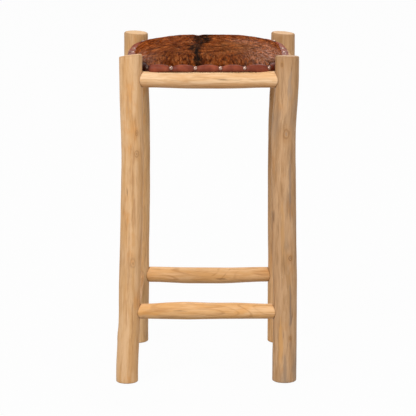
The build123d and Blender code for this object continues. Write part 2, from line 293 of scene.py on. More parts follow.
@dataclass(frozen=True)
class Stain:
    """A long soft streak: its place as a share, its turn in degrees and half its sizes in millimetres."""

    along: float
    turn: float
    half_length: float
    half_width: float
    tone: str
    depth: float

    def paint(self, n: Nodes, tone: Socket, place: "Log") -> Socket:
        """Paints the streak with ragged edges.

        Args:
            n: the material's nodes.
            tone: the wood's colour so far.
            place: the log that the streak is on.

        Returns:
            The colour with the streak.
        """
        half = self.half_width * MM
        centre = place.grain_at(self.along, math.radians(self.turn))
        uneven = n.noise(n.space("grain", (1, 1, 0.12), centre), 260, 3, 0.6)
        ragged = n.fit(uneven, 0.2, 0.8, -0.7 * half, 0.7 * half)
        far = ragged_distance(n, centre, self.half_width / self.half_length, ragged)
        return n.blend(n.fit(far, half * 1.3, half * 0.5, 0.0, self.depth), tone, self.tone)


@dataclass(frozen=True)
class WoodFinish:
    """Sanded branch wood under a satin finish, with its own tones, and painted shade on the underside and
    near the top where its settings ask for it.
    """

    light: str = "#d9b084"
    middle: str = "#cb9c69"
    dark: str = "#a87545"
    warm: str = "#cf9150"
    grey: str = "#a08770"
    greyness: float = 0.25
    figure: float = 0.12
    seed: float = 0.0
    painted_top_shade: float = 0.0
    painted_under_shade: float = 0.0
    stains: tuple[Stain, ...] = ()

    def material(self, place: "Log") -> Material:
        """Makes the material of one log, with its stains and its knots.

        Args:
            place: the log.

        Returns:
            The material.
        """
        n = Nodes(place.node + "_wood")
        bands, streaks = self.grain(n, 0.10, 95, 3, 0.6, 0.3), self.grain(n, 0.07, 260, 3, 0.6, 0.2)
        fibres, clouds = self.grain(n, 0.045, 900, 4, 0.7), self.grain(n, 0.5, 45, 3, 0.6)
        patches = self.grain(n, 0.4, 15, 3, 0.55)
        tone = n.blend(n.fit(bands, 0.36, 0.64), self.light, self.middle)
        tone = n.blend(n.fit(streaks, 0.50, 0.72, 0.0, 0.55), tone, self.dark)
        tone = n.blend(n.fit(clouds, 0.54, 0.72, 0.0, 0.45), tone, self.warm)
        tone = n.blend(n.fit(patches, 0.50, 0.32, 0.0, self.greyness), tone, self.grey)
        tone = n.blend(self.figure_lines(n), tone, self.dark)
        tone = n.blend(n.fit(fibres, 0.42, 0.28, 0.0, 0.40), tone, "#7f5833")
        tone = n.blend(n.fit(fibres, 0.58, 0.72, 0.0, 0.35), tone, "#f0d6ae")
        tone = n.blend(self.checks(n), tone, "#5d4028")
        for mark in (*self.stains, *place.knots):
            tone = mark.paint(n, tone, place)
        across, up, along = n.add("SeparateXYZ", n.space("grain")).outputs
        # Painted shade: the underside is darkened and warmed towards #b9783c, as if lit from above.
        if self.painted_under_shade:
            tone = n.blend(n.fit(up, 4 * MM, -15 * MM, 0.0, self.painted_under_shade), tone, "#b9783c")
        # Painted shade: the top of the post, under the seat, is darkened towards #7d522c.
        if self.painted_top_shade:
            near_top = n.fit(along, place.length * 0.86, place.length * 0.985, 0.0, self.painted_top_shade)
            tone = n.blend(near_top, tone, "#7d522c")
        tone = n.blend(n.attribute("cap"), tone, self.end_grain(n, across, up))
        tone = n.blend(n.attribute("edge"), tone, "#6b4728")
        n.set(Base_Color=tone, Roughness=n.fit(streaks, 0.3, 0.7, 0.50, 0.66), Specular_IOR_Level=0.2)
        n.bump(n.work_out("ADD", fibres, streaks), 0.35, 0.4 * MM)
        return n.owner

    def grain(self, n: Nodes, along: float, *sizes: float) -> Socket:
        """A noise that is drawn out along the log, at the finish's own place."""
        shift = (self.seed * 1.7, self.seed * 0.9, self.seed * 0.31)
        return n.noise(n.space("grain", (1, 1, along), shift), *sizes)

    def figure_lines(self, n: Nodes) -> Socket:
        """Long pointed ovals, where the surface cuts through growth rings.

        Args:
            n: the material's nodes.

        Returns:
            How much of the dark tone they take.
        """
        rings = n.work_out("SINE", n.work_out("MULTIPLY", self.grain(n, 0.24, 19, 1.2, 0.4), 92.0))
        gaps = n.fit(self.grain(n, 0.3, 60, 2), 0.38, 0.58, 0.25, 1.0)
        return n.work_out("MULTIPLY", n.fit(rings, 0.66, 1.0, 0.0, self.figure), gaps)

    def checks(self, n: Nodes) -> Socket:
        """Thin drying cracks along the grain, in a few places.

        Args:
            n: the material's nodes.

        Returns:
            How much of their tone they take.
        """
        from_middle = n.work_out("ABSOLUTE", n.work_out("SUBTRACT", self.grain(n, 0.05, 70, 2), 0.5))
        where = n.fit(self.grain(n, 0.5, 28, 2), 0.60, 0.68, 0.0, 0.6)
        return n.work_out("MULTIPLY", n.fit(from_middle, 0.014, 0.004), where)

    def end_grain(self, n: Nodes, across: Socket, up: Socket) -> Socket:
        """Faint rings where the log is cut across.

        Args:
            n: the material's nodes.
            across: the place sideways in the log.
            up: the place upwards in it.

        Returns:
            The cut's colour.
        """
        square = n.work_out("ADD", n.work_out("POWER", across, 2.0), n.work_out("POWER", up, 2.0))
        wobble = n.work_out("MULTIPLY", n.noise(n.space("grain"), 70, 2), 4 * MM)
        reach = n.work_out("ADD", n.work_out("SQRT", square), wobble)
        rings = n.work_out("SINE", n.work_out("MULTIPLY", reach, 2600.0))
        return n.blend(n.fit(rings, -0.6, 1.0, 0.15, 0.55), self.light, self.dark)


def smooth_table(rows: tuple, column: int, spread: float = 0.028) -> Array:
    """Rounds a table of shares into a smooth run of 401 values.

    Args:
        rows: rows that start with their place as a share.
        column: the column to read.
        spread: how far the rounding reaches, as a share.

    Returns:
        The values from share 0 to share 1.
    """
    places = np.linspace(-0.2, 1.2, 561)
    values = np.interp(places, [row[0] for row in rows], [row[column] for row in rows])
    kernel = np.exp(-0.5 * (np.arange(-60, 61) * 0.0025 / spread) ** 2)
    padded = np.convolve(np.pad(values, 60, mode="edge"), kernel / kernel.sum(), mode="valid")
    return padded[80:481]


def finished(name: str, bm: bmesh.types.BMesh, smooth: bool = True) -> Object:
    """Turns a bmesh into an object of the scene.

    Args:
        name: the object's name.
        bm: the shape, which is used up.
        smooth: whether its faces are shaded smooth.

    Returns:
        The object.
    """
    bmesh.ops.recalc_face_normals(bm, faces=bm.faces)
    for face in bm.faces:
        face.smooth = smooth
    mesh = bpy.data.meshes.new(name)
    bm.to_mesh(mesh)
    bm.free()
    return placed(name, mesh)


def placed(name: str, data: bpy.types.ID) -> Object:
    """Puts a mesh, a lamp or a camera into the scene.

    Args:
        name: the object's name.
        data: what it holds.

    Returns:
        The object.
    """
    obj = bpy.data.objects.new(name, data)
    bpy.context.collection.objects.link(obj)
    log.info("%s placed", name)
    return obj


def dress(obj: Object, material: Material, node: str = "", body: str = ROOT) -> None:
    """Gives a piece its body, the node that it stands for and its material.

    Args:
        obj: the piece.
        material: its material.
        node: the CAD node that it replaces, if any.
        body: the body that it rides on.
    """
    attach(obj, body)
    if node:
        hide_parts(node)
    obj.data.materials.append(material)


@dataclass
class Log:
    """A sanded branch between two points, as the CAD has it, with knots and gentle waves."""

    node: str
    start: Vector
    end: Vector
    diameter: float
    rings: tuple
    finish: WoodFinish
    knots: tuple = ()
    wave: float = 0.018
    around: int = 72

    def __post_init__(self) -> None:
        """Works out the frame and the smooth tables."""
        self.length = (self.end - self.start).length
        self.axis = (self.end - self.start).normalized()
        upright = abs(self.axis.z) > 0.8
        self.side = Vector((1, 0, 0)) if upright else Vector((0, 0, 1)).cross(self.axis).normalized()
        self.up = self.axis.cross(self.side)
        self.tables = [smooth_table(self.rings, column) * self.diameter for column in (1, 2, 3)]

    def read(self, table: int, share: float) -> float:
        """Reads a smooth table at a share of the length.

        Args:
            table: 0 and 1 for the centre line's offsets, 2 for the width.
            share: the place along the log.

        Returns:
            The value in metres.
        """
        spot = min(max(share, 0.0), 1.0) * 400
        low = min(int(spot), 399)
        before, after = self.tables[table][low : low + 2]
        return float(before + (after - before) * (spot - low))

    def centre(self, share: float) -> Vector:
        """The centre line's point at a share of the length."""
        offset = self.side * self.read(0, share) + self.up * self.read(1, share)
        return self.start + offset + self.axis * (share * self.length)

    def radius(self, share: float, turn: float) -> float:
        """The radius at a share of the length and a turn round it.

        Args:
            share: the place along the log.
            turn: the angle round it in radians.

        Returns:
            The radius in metres, waves and knots included.
        """
        base = self.read(2, share) / 2
        spot = Vector((math.cos(turn) * 0.9, math.sin(turn) * 0.9, share * self.length * 17))
        spot += Vector((self.finish.seed * 7.1, self.finish.seed * 3.3, 0))
        radius = base * (1 + self.wave * noise.noise(spot) + 0.4 * self.wave * noise.noise(spot * 2.7))
        for knot in self.knots:
            along = (share - knot.along) * self.length / 1.5
            away = turn - math.radians(knot.turn)
            off = math.atan2(math.sin(away), math.cos(away)) * base
            far = (along * along + off * off) / (knot.radius * MM * 1.6) ** 2
            if far < 9:
                radius += knot.rise * MM * (math.exp(-far) - 0.35 * math.exp(-far * 14))
        return radius

    def point(self, share: float, turn: float, inset: float = 0.0, width: float = 1.0) -> Vector:
        """A point on the surface.

        Args:
            share: the place along the log.
            turn: the angle round it in radians.
            inset: how far inside the surface it is.
            width: a share that the radius is multiplied by.

        Returns:
            The point in the row frame.
        """
        out = self.side * math.cos(turn) + self.up * math.sin(turn)
        return self.centre(share) + out * ((self.radius(share, turn) - inset) * width)

    def grain_at(self, share: float, turn: float, width: float = 1.0) -> tuple[float, float, float]:
        """Where a point lies in the straightened log, which the wood's pattern reads."""
        reach = self.radius(share, turn) * width
        return (reach * math.cos(turn), reach * math.sin(turn), share * self.length)

    def outside(self, point: Vector) -> float:
        """How far a point is outside an upright log's surface.

        Args:
            point: the point in the row frame.

        Returns:
            The distance, negative inside it.
        """
        share = min(max((point.z - self.start.z) / self.length, 0.0), 1.0)
        away = point - self.centre(share)
        return math.hypot(away.x, away.y) - self.radius(share, math.atan2(away.y, away.x))

    def tube(self, stations: list, place: Callable) -> None:
        """Wraps a grid round the log and dresses it.

        Args:
            stations: one entry for each row of the grid.
            place: gives a share, an inset, a width and how worn the edge is for a station and a turn.
        """
        bm = bmesh.new()
        bmesh.ops.create_grid(bm, x_segments=self.around, y_segments=len(stations) - 1, size=0.5)
        grain = bm.verts.layers.float_vector.new("grain")
        cap, edge = (bm.verts.layers.float.new(name) for name in ("cap", "edge"))
        for vert in bm.verts:
            turn = (vert.co.x + 0.5) * FULL_TURN
            station = stations[round((vert.co.y + 0.5) * (len(stations) - 1))]
            share, inset, width, worn = place(station, turn)
            vert[grain] = self.grain_at(share, turn, width)
            vert[cap] = 1.0 if width < 0.98 else 0.0
            vert[edge] = worn
            vert.co = self.point(share, turn, inset, width)
        bmesh.ops.remove_doubles(bm, verts=bm.verts, dist=WELD)
        piece = finished(self.node + "_wood", bm)
        dress(piece, self.finish.material(self), self.node)


@dataclass
class Post(Log):
    """A post with a rounded, slightly slanting top and a foot that is hollowed round its glide."""

    top_round: float = 3.5 * MM
    foot_round: float = 2.2 * MM
    skirt: float = 2.7 * MM
    recess: float = 10.5 * MM
    dome: float = 1.0 * MM
    slant: float = 0.0
    slant_turn: float = 0.0
    lift: float = 0.0
    rows: int = 150

    def slanted(self, station: tuple, turn: float) -> tuple[float, float, float, float]:
        """Where a station of the grid lies at a turn, lowered towards the slant's low side.

        Args:
            station: its share, inset, width and wear.
            turn: the angle round the post in radians.

        Returns:
            The share, inset, width and wear at that turn.
        """
        share, inset, width, worn = station
        near_top = min(max((share - 0.94) / 0.06, 0.0), 1.0) ** 2
        low = self.slant * (0.5 - 0.5 * math.cos(turn - math.radians(self.slant_turn)) * width)
        spot = Vector((math.cos(turn) * width * 2, math.sin(turn) * width * 2, self.finish.seed + 9))
        low += 0.25 * MM * noise.noise(spot)
        return (share - near_top * (low - self.lift) / self.length, inset, width, worn)

    def build(self) -> None:
        """Builds the post from its foot to its top."""
        rim, hollow = -self.skirt / self.length, 2 * self.recess / self.diameter
        stations: list = [(0.0, 0.0, hollow * share, 0.5) for share in (0.0, 0.5, 0.97)]
        stations += [(rim * 0.9, 0.0, hollow, 0.5), (rim, 0.0, hollow + 0.04, 0.2)]
        stations += [(rim, self.foot_round, width, 0.1) for width in (0.75, 0.93)]
        for step in range(4, -1, -1):
            turn = math.radians(90 * step / 4)
            drop, inset = self.foot_round * (1 - math.sin(turn)), self.foot_round * (1 - math.cos(turn))
            stations.append((rim + drop / self.length, inset, 1.0, 0.25 * math.sin(turn)))
        first, last = rim + self.foot_round / self.length, 1 - self.top_round / self.length
        for row in range(1, self.rows):
            stations.append((first + (last - first) * row / self.rows, 0.0, 1.0, 0.0))
        for step in range(7):
            turn = math.radians(90 * step / 6)
            rise, inset = self.top_round * math.sin(turn), self.top_round * (1 - math.cos(turn))
            stations.append((last + rise / self.length, inset, 1.0, 0.3 * math.sin(2 * turn)))
        for width in (0.93, 0.8, 0.55, 0.3, 0.0):
            stations.append((1 + self.dome * (1 - width**2) / self.length, self.top_round, width, 0.0))
        self.tube(stations, self.slanted)


@dataclass
class Span(Log):
    """A rail or stretcher whose ends are scribed to two posts and worn where they meet them.

    Wear is a row of steps past the shoulder and how far the surface lies in there, in millimetres.
    """

    hosts: tuple = ()
    gap: float = 0.15 * MM
    wear: tuple = ((-3.0, 1.6), (-0.4, 0.7), (0.0, 0.46), (0.6, 0.36), (1.4, 0.2), (2.8, 0.0))
    rows: int = 60

    def scribe(self, turn: float, at_end: bool) -> float:
        """Finds where the surface meets a post.

        Args:
            turn: the angle round the span in radians.
            at_end: whether the second post is meant.

        Returns:
            The share of the length at which it does.
        """
        host = self.hosts[1 if at_end else 0]
        near, far = 0.0, host.diameter * 0.8 / self.length
        for _ in range(22):
            middle = (near + far) / 2
            share = 1 - middle if at_end else middle
            if host.outside(self.point(share, turn)) < self.gap:
                near = middle
            else:
                far = middle
        return 1 - far if at_end else far

    def build(self) -> None:
        """Builds the span between its two scribed shoulders."""
        turns = [column / self.around * FULL_TURN for column in range(self.around + 1)]
        ends = [(self.scribe(turn, False), self.scribe(turn, True)) for turn in turns]
        stations = [(0.0, step, inset) for step, inset in self.wear]
        stations += [(row / self.rows, 0.0, 0.0) for row in range(1, self.rows)]
        stations += [(1.0, -step, inset) for step, inset in reversed(self.wear)]
        worn = self.wear[-1][0] * MM / self.length

        def place(station: tuple, turn: float) -> tuple[float, float, float, float]:
            """Where a station of the grid lies at a turn.

            Args:
                station: its share, its step past the shoulder and its inset.
                turn: the angle in radians.

            Returns:
                The share, inset, width and wear there.
            """
            low, high = ends[round(turn / FULL_TURN * self.around)]
            share, step, inset = station
            if 0.0 < share < 1.0:
                return (low + worn + (high - low - 2 * worn) * share, 0.0, 1.0, 0.0)
            shoulder = high if share else low
            return (shoulder + step * MM / self.length, inset * MM, 1.0, min(0.8, 1.7 * inset))

        self.tube(stations, place)


@dataclass(frozen=True)
class PostPlan:
    """What sets one post apart: its side of the middle, its sizes in millimetres, its look and its rings."""

    across: int
    deep: int
    diameter: float
    foot: float
    slant: float
    slant_turn: float
    lift: float
    finish: WoodFinish
    knots: tuple[Knot, ...]
    rings: tuple


# A ring is a share of the length, then two offsets of the centre and the width as shares of the diameter.
POSTS = {
    Corner.FRONT_LEFT: PostPlan(
        -1, -1, 43.0, 4.3, 7.7, 309.0, 3.0,
        WoodFinish(greyness=0.15, seed=1.0, stains=(
            Stain(0.62, 275, 60, 2.4, "#a97f57", 0.45), Stain(0.35, 262, 45, 2.0, "#a87c52", 0.4),
            Stain(0.86, 255, 30, 2.2, "#b58a60", 0.5), Stain(0.20, 288, 40, 2.6, "#a67a50", 0.45))),
        (Knot(0.769, 296, 3.6, 0.5), Knot(0.707, 294, 4.6, 0.6), Knot(0.372, 284, 6.5, 0.5, 0.4),
         Knot(0.14, 180, 5.0, 1.2)),
        ((0.05, -0.21, -0.02, 1.00), (0.18, -0.08, 0.01, 0.98), (0.26, -0.08, 0.01, 0.98),
         (0.45, 0.02, 0.02, 1.00), (0.70, 0.11, -0.03, 1.00), (0.90, 0.05, 0.00, 1.03))),
    Corner.FRONT_RIGHT: PostPlan(
        1, -1, 47.0, 6.0, 4.0, 262.0, 0.0,
        WoodFinish("#c29a73", "#ad845b", "#8a6846", "#b58049", "#8d7a69", 0.6, seed=2.0, painted_top_shade=0.10,
                   stains=(
            Stain(0.225, 296, 40, 2.4, "#86705f", 0.75), Stain(0.05, 272, 34, 3.0, "#84705f", 0.45),
            Stain(0.13, 298, 26, 2.2, "#8a6f57", 0.6), Stain(0.60, 300, 60, 3.0, "#8b7665", 0.55),
            Stain(0.90, 285, 30, 4.0, "#94806f", 0.5), Stain(0.12, 250, 45, 4.5, "#cf9a5c", 0.6),
            Stain(0.47, 262, 50, 4.0, "#c59662", 0.5))),
        (Knot(0.766, 281, 6.5, 0.7, 0.6, "#8d7f72"), Knot(0.387, 296, 3.8, 0.4, 1.0, "#5f5a54"),
         Knot(0.137, 296, 2.6, 0.2, 0.9), Knot(0.975, 243, 2.4, 0.0, 1.0)),
        ((0.05, 0.00, 0.01, 1.01), (0.18, 0.01, 0.00, 0.99), (0.26, 0.01, 0.00, 0.99),
         (0.46, -0.05, -0.02, 1.02), (0.77, -0.11, 0.03, 1.01), (0.90, 0.03, 0.00, 0.97))),
    Corner.BACK_LEFT: PostPlan(
        -1, 1, 48.5, 4.3, 2.2, 150.0, 0.0,
        WoodFinish("#dcb484", "#cca06d", "#a87a4b", seed=3.0, painted_top_shade=0.28),
        (Knot(0.55, 60, 7.0, 1.0),),
        ((0.05, 0.03, 0.01, 1.00), (0.18, 0.08, 0.00, 1.00), (0.26, 0.08, 0.00, 0.99),
         (0.47, 0.14, -0.01, 0.99), (0.72, 0.15, 0.02, 1.00), (0.90, 0.08, -0.01, 1.00))),
    Corner.BACK_RIGHT: PostPlan(
        1, 1, 48.0, 4.3, 3.0, 180.0, -0.5,
        WoodFinish("#d9ae7f", "#c79763", "#9d7144", seed=4.0, painted_top_shade=0.36),
        (Knot(0.42, 120, 8.0, 1.1), Knot(0.8, 200, 6.0, 0.8)),
        ((0.05, -0.04, -0.01, 1.01), (0.18, -0.04, 0.01, 1.01), (0.26, -0.03, 0.01, 1.01),
         (0.44, -0.07, 0.01, 0.99), (0.72, -0.06, -0.02, 0.99), (0.90, 0.05, 0.01, 1.00))),
}

SPAN_RINGS = {
    "seat_rail_front": ((0.17, 0.00, 0.00, 0.87), (0.30, 0.01, -0.01, 0.95), (0.43, 0.03, 0.00, 1.00),
                        (0.58, 0.03, 0.00, 1.00), (0.71, 0.02, -0.01, 0.96), (0.83, 0.00, 0.00, 0.89)),
    "seat_rail_back": ((0.17, 0.00, 0.00, 0.89), (0.30, -0.01, -0.01, 0.94), (0.44, -0.02, 0.00, 1.00),
                       (0.58, -0.02, 0.00, 1.00), (0.70, -0.01, -0.01, 0.95), (0.83, 0.00, 0.00, 0.88)),
    "seat_rail_left": ((0.17, 0.00, 0.00, 0.88), (0.28, 0.02, -0.01, 0.94), (0.41, 0.03, 0.00, 1.00),
                       (0.57, 0.03, 0.00, 1.00), (0.70, 0.01, -0.01, 0.97), (0.83, 0.00, 0.00, 0.90)),
    "seat_rail_right": ((0.17, 0.00, 0.00, 0.88), (0.30, 0.02, -0.01, 0.96), (0.44, 0.03, 0.00, 1.00),
                        (0.60, 0.03, 0.00, 1.00), (0.71, 0.01, -0.01, 0.94), (0.83, 0.00, 0.00, 0.89)),
    "stretcher_front": ((0.14, 0.00, 0.00, 0.92), (0.25, -0.02, 0.03, 1.02), (0.36, -0.02, 0.04, 1.08),
                        (0.52, -0.01, 0.03, 1.00), (0.70, 0.02, 0.03, 0.99), (0.86, 0.00, 0.00, 0.92)),
    "stretcher_back": ((0.14, 0.00, 0.00, 0.99), (0.36, 0.02, -0.07, 1.04), (0.60, -0.01, -0.08, 1.03),
                       (0.86, 0.00, 0.00, 0.95)),
    "stretcher_left": ((0.14, 0.00, 0.00, 0.93), (0.38, -0.04, -0.06, 1.01), (0.64, 0.00, -0.10, 1.04),
                       (0.86, 0.00, 0.00, 1.00)),
    "stretcher_right": ((0.14, 0.00, 0.00, 0.98), (0.40, 0.04, 0.04, 1.04), (0.66, 0.02, -0.05, 1.02),
                        (0.86, 0.00, 0.00, 0.96)),
}


@dataclass
class WoodFrame:
    """The posts, rails and stretchers."""

    half: float = 150 * MM
    top: float = 650 * MM
    rail_height: float = 602.2 * MM
    rail_diameter: float = 35.6 * MM
    stretcher_height: float = 143.2 * MM
    stretcher_diameter: float = 32 * MM
    posts: dict[Corner, Post] = field(default_factory=dict)

    def make_posts(self) -> None:
        """Builds the four posts, each with its own tones and knots."""
        for corner, plan in POSTS.items():
            x, y = plan.across * self.half, plan.deep * self.half
            start, end = Vector((x, y, plan.foot * MM)), Vector((x, y, self.top))
            slant = {"slant": plan.slant * MM, "slant_turn": plan.slant_turn, "lift": plan.lift * MM}
            look = (plan.rings, plan.finish, plan.knots)
            self.posts[corner] = Post("leg_" + corner.value, start, end, plan.diameter * MM, *look, **slant)
            self.posts[corner].build()

    def make_spans(self, kind: str, height: float, diameter: float, finish: WoodFinish) -> None:
        """Builds the rails or the stretchers, scribed to their posts.

        Args:
            kind: the start of their nodes' names.
            height: how high they run.
            diameter: how thick they are.
            finish: their look, with the seed of the first.
        """
        ends = {
            Side.FRONT: (Corner.FRONT_LEFT, Corner.FRONT_RIGHT),
            Side.BACK: (Corner.BACK_LEFT, Corner.BACK_RIGHT),
            Side.LEFT: (Corner.FRONT_LEFT, Corner.BACK_LEFT),
            Side.RIGHT: (Corner.FRONT_RIGHT, Corner.BACK_RIGHT),
        }
        for index, (side, corners) in enumerate(ends.items()):
            hosts = tuple(self.posts[corner] for corner in corners)
            points = [host.centre((height - host.start.z) / host.length) for host in hosts]
            for point in points:
                point.z = height
            name = kind + side.value
            look = replace(finish, seed=finish.seed + index)
            Span(name, *points, diameter, SPAN_RINGS[name], look, hosts=hosts).build()

    def build(self) -> None:
        """Builds the posts, then the rails and the stretchers."""
        self.make_posts()
        rail = WoodFinish("#e8c399", "#d8a977", "#af7d4b", greyness=0.10, figure=0.28, seed=5.0)
        # The rails get painted shade on their undersides.
        rail = replace(rail, painted_under_shade=0.42)
        self.make_spans("seat_rail_", self.rail_height, self.rail_diameter, rail)
        bar = WoodFinish("#dfb281", "#d29e64", "#a9723c", "#d99a53", greyness=0.12, figure=0.42, seed=9.0)
        self.make_spans("stretcher_", self.stretcher_height, self.stretcher_diameter, bar)

    def notches(self, level: float, room: float) -> list[tuple[Vector, float]]:
        """The plan place and radius of the notch that a pad needs round each post.

        Args:
            level: the height at which the posts are read.
            room: how far the pad stays clear of them.

        Returns:
            A place and a radius for each post.
        """
        found = []
        for post in self.posts.values():
            share = (level - post.start.z) / post.length
            spot = post.centre(share)
            found.append((Vector((spot.x, spot.y, 0)), post.read(2, share) / 2 + room))
        return found


def eased(value: float, start: float, width: float) -> float:
    """How far a value is past a start, from 0 to 1 over a width, with both ends eased."""
    share = min(max((value - start) / width, 0.0), 1.0)
    return share * share * (3 - 2 * share)


@dataclass
class PadShape:
    """The crowned seat pad: where its edge runs and how it rounds over."""

    notches: list[tuple[Vector, float]]
    centre: Vector = field(default_factory=lambda: Vector((0.5 * MM, 0.0, 0.0)))
    half_across: float = 157.5 * MM
    half_deep: float = 159.0 * MM
    base: float = 620.5 * MM
    height: float = 32.8 * MM
    power: float = 4.5
    bulge: float = 3.0
    shelf_low: float = 3.0 * MM
    shelf_height: float = 3.6 * MM
    shelf_width: float = 16.0 * MM
    climb: float = 12.0 * MM

    def side_share(self, y: float) -> float:
        """How much a place belongs to the two sides, from 0 at the front and the back to 1."""
        return eased(y, -0.140, 0.060) * (1 - eased(y, 0.128, 0.020))

    def rise(self, y: float) -> float:
        """How far the nailed edge climbs where the sides near the back posts."""
        return self.climb * eased(y, 0.090, 0.035) * (1 - eased(y, 0.136, 0.020))

    def over_shelf(self, height: float, y: float) -> float:
        """How far a height is past the nailing shelf, from 0 below it to 1 above it."""
        return eased(height - self.shelf_low - self.rise(y), 0.0, self.shelf_height)

    def inset(self, x: float, y: float, height: float) -> float:
        """How far a point is inside the pad's edge.

        Args:
            x: the place from left to right.
            y: the place from front to back.
            height: the height above the base.

        Returns:
            The distance, negative outside the edge.
        """
        across, deep = abs(x - self.centre.x) / self.half_across, abs(y - self.centre.y) / self.half_deep
        value = (1 - (across**self.power + deep**self.power) ** (1 / self.power)) * self.half_across
        back = eased(y, 0.040, 0.050)
        sides = 26 * eased(y, -0.140, 0.060) * (1 - back)
        soft = (8 + sides + 8 * back + 8 * back * self.over_shelf(height, y)) * MM
        for spot, radius in self.notches:
            other = math.hypot(x - spot.x, y - spot.y) - radius
            mix = min(max(0.5 + 0.5 * (other - value) / soft, 0.0), 1.0)
            value = other * (1 - mix) + value * mix - soft * mix * (1 - mix)
        return value

    def drawn(self, height: float, y: float) -> float:
        """How far the pad's side is drawn in: rounded, with a nailing shelf along the two sides.

        Args:
            height: the height above the base.
            y: the place from front to back.

        Returns:
            The distance from the edge.
        """
        share = min(max(height / self.height, 0.0), 1.0)
        rounded = self.half_across * (1 - (1 - share**2) ** (1 / self.bulge))
        width = self.shelf_width * (1 - 0.45 * eased(y, 0.070, 0.050))
        return math.hypot(rounded, width * self.side_share(y) * self.over_shelf(height, y))

    def drawn_at(self, point: Vector, out: Vector, height: float) -> float:
        """How far the pad's surface is drawn in from a point of its edge.

        Args:
            point: the edge's plan point.
            out: the outward direction in plan.
            height: the height above the base.

        Returns:
            The distance along the inward direction.
        """
        goal = self.drawn(height, point.y)
        reach = goal
        for _ in range(3):
            spot = point - out * reach
            reach += goal - self.inset(spot.x, spot.y, height)
        return reach

    def hair_line(self, y: float) -> float:
        """The height above the base at which hair comes out from under the strip."""
        return 7.5 * MM + self.side_share(y) * (self.rise(y) - 1.4 * MM)

    def contour(self, turn: float, height: float, grow: float) -> Vector:
        """The plan point of the pad's surface in one direction from the centre.

        Args:
            turn: the direction in radians.
            height: the height above the base.
            grow: how far outside the pad's surface.

        Returns:
            The point, at height 0.
        """
        near, far = 0.0, 1.5 * self.half_across
        for _ in range(24):
            middle = (near + far) / 2
            x, y = self.centre.x + middle * math.cos(turn), self.centre.y + middle * math.sin(turn)
            if self.inset(x, y, height) > self.drawn(height, y) - grow:
                near = middle
            else:
                far = middle
        return Vector((self.centre.x + near * math.cos(turn), self.centre.y + near * math.sin(turn), 0.0))

    def closed_form(self, stations: list, grow: float, around: int) -> bmesh.types.BMesh:
        """A closed shape between levels of the pad.

        Args:
            stations: the rows from the middle of the underside to the crown: a height above the base,
                and how far out the row lies between the centre and the pad's surface at that height.
            grow: how much larger than the pad it is all round.
            around: how many columns it has.

        Returns:
            The shape.
        """
        bm = bmesh.new()
        bmesh.ops.create_grid(bm, x_segments=around, y_segments=len(stations) - 1, size=0.5)
        outline: dict = {}
        for vert in bm.verts:
            turn = (vert.co.x + 0.5) * FULL_TURN
            height, share = stations[round((vert.co.y + 0.5) * (len(stations) - 1))]
            key = (round(turn, 5), round(height, 6))
            if key not in outline:
                outline[key] = self.contour(turn, height, grow)
            point = self.centre.lerp(outline[key], share)
            vert.co = Vector((point.x, point.y, self.base + height))
        bmesh.ops.remove_doubles(bm, verts=bm.verts, dist=1e-5)
        return bm

    def crowned(self, low: float, grow: float, around: int) -> bmesh.types.BMesh:
        """The pad's closed form with a flat underside.

        Args:
            low: the underside's height above the base.
            grow: how much larger than the pad it is all round.
            around: how many columns it has.

        Returns:
            The shape.
        """
        shares = (*(step * 8 / 100 for step in range(1, 11)), 0.87, 0.92, 0.955, 0.98, 0.993, 1.0)
        stations = [(low, out) for out in (0.0, 0.5, 0.85, 1.0)]
        stations += [(low + (self.height - low) * share, 1.0) for share in shares]
        return self.closed_form(stations, grow, around)


def noise_over(x: Array, y: Array, level: float, x_scale: float, y_scale: float) -> Array:
    """One layer of a noise from about -1 to 1, at many points of the plan."""
    return np.array([noise.noise(Vector((a * x_scale, b * y_scale, level))) for a, b in zip(x, y)])


def oval(x: Array, y: Array, middle: tuple, size: tuple) -> Array:
    """How much points belong to a soft oval patch, 1 at its middle."""
    return np.exp(-(((x - middle[0]) / size[0]) ** 2) - ((y - middle[1]) / size[1]) ** 2)


def share_of(value: Array, start: float, width: float) -> Array:
    """How far values are past a start, from 0 to 1 over a width."""
    return np.clip((value - start) / width, 0, 1)


def towards(tone: Array, code: str, share: Array) -> Array:
    """Mixes many colours towards another one by a share for each."""
    return tone + (np.array(linear(code)[:3]) - tone) * np.clip(share, 0, 1)[:, None]


def store_coat(mesh: bpy.types.Mesh, tone: Array) -> None:
    """Writes one colour for each vertex into the coat attribute.

    Args:
        mesh: the mesh.
        tone: one linear colour for each vertex.
    """
    layer = mesh.color_attributes.new("coat", "FLOAT_COLOR", "POINT")
    rows = np.concatenate([tone, np.ones((len(tone), 1))], axis=1)
    layer.data.foreach_set("color", rows.astype(np.float32).ravel())


@dataclass(frozen=True)
class HideFinish:
    """The hide's skin under its hair, the hair itself and the colours of its coat."""

    skin: str = "#5e3219"
    deep: str = "#3a1d0e"
    middle: str = "#984308"
    dark: str = "#4a1c05"
    gold_and_highlight: str = "#c6723a"
    sheen_grey: str = "#a56e40"
    highlight_pale: str = "#e8b8a2"
    black: str = "#180a02"
    glint: str = "#cf8a58"

    def skin_material(self) -> Material:
        """Dark skin with the hair's streaks, seen between the hairs.

        Returns:
            The material.
        """
        n = Nodes("hide_skin")
        streaks = n.noise(n.space(), 420, 4, 0.7)
        tone = n.blend(n.fit(streaks, 0.35, 0.65), self.deep, self.skin)
        tone = n.blend(n.fit(streaks, 0.0, 1.0, 0.55, 0.75), tone, n.attribute("coat", "Color"))
        n.set(Base_Color=tone, Roughness=0.8, Specular_IOR_Level=0.05)
        n.bump(streaks, 0.5, 0.6 * MM)
        return n.owner

    def hair_material(self) -> Material:
        """Satin hair, coloured strand by strand.

        Returns:
            The material.
        """
        n = Nodes("hide_hair")
        n.set(Base_Color=n.attribute("coat", "Color"), Roughness=0.55, Specular_IOR_Level=0.012)
        return n.owner


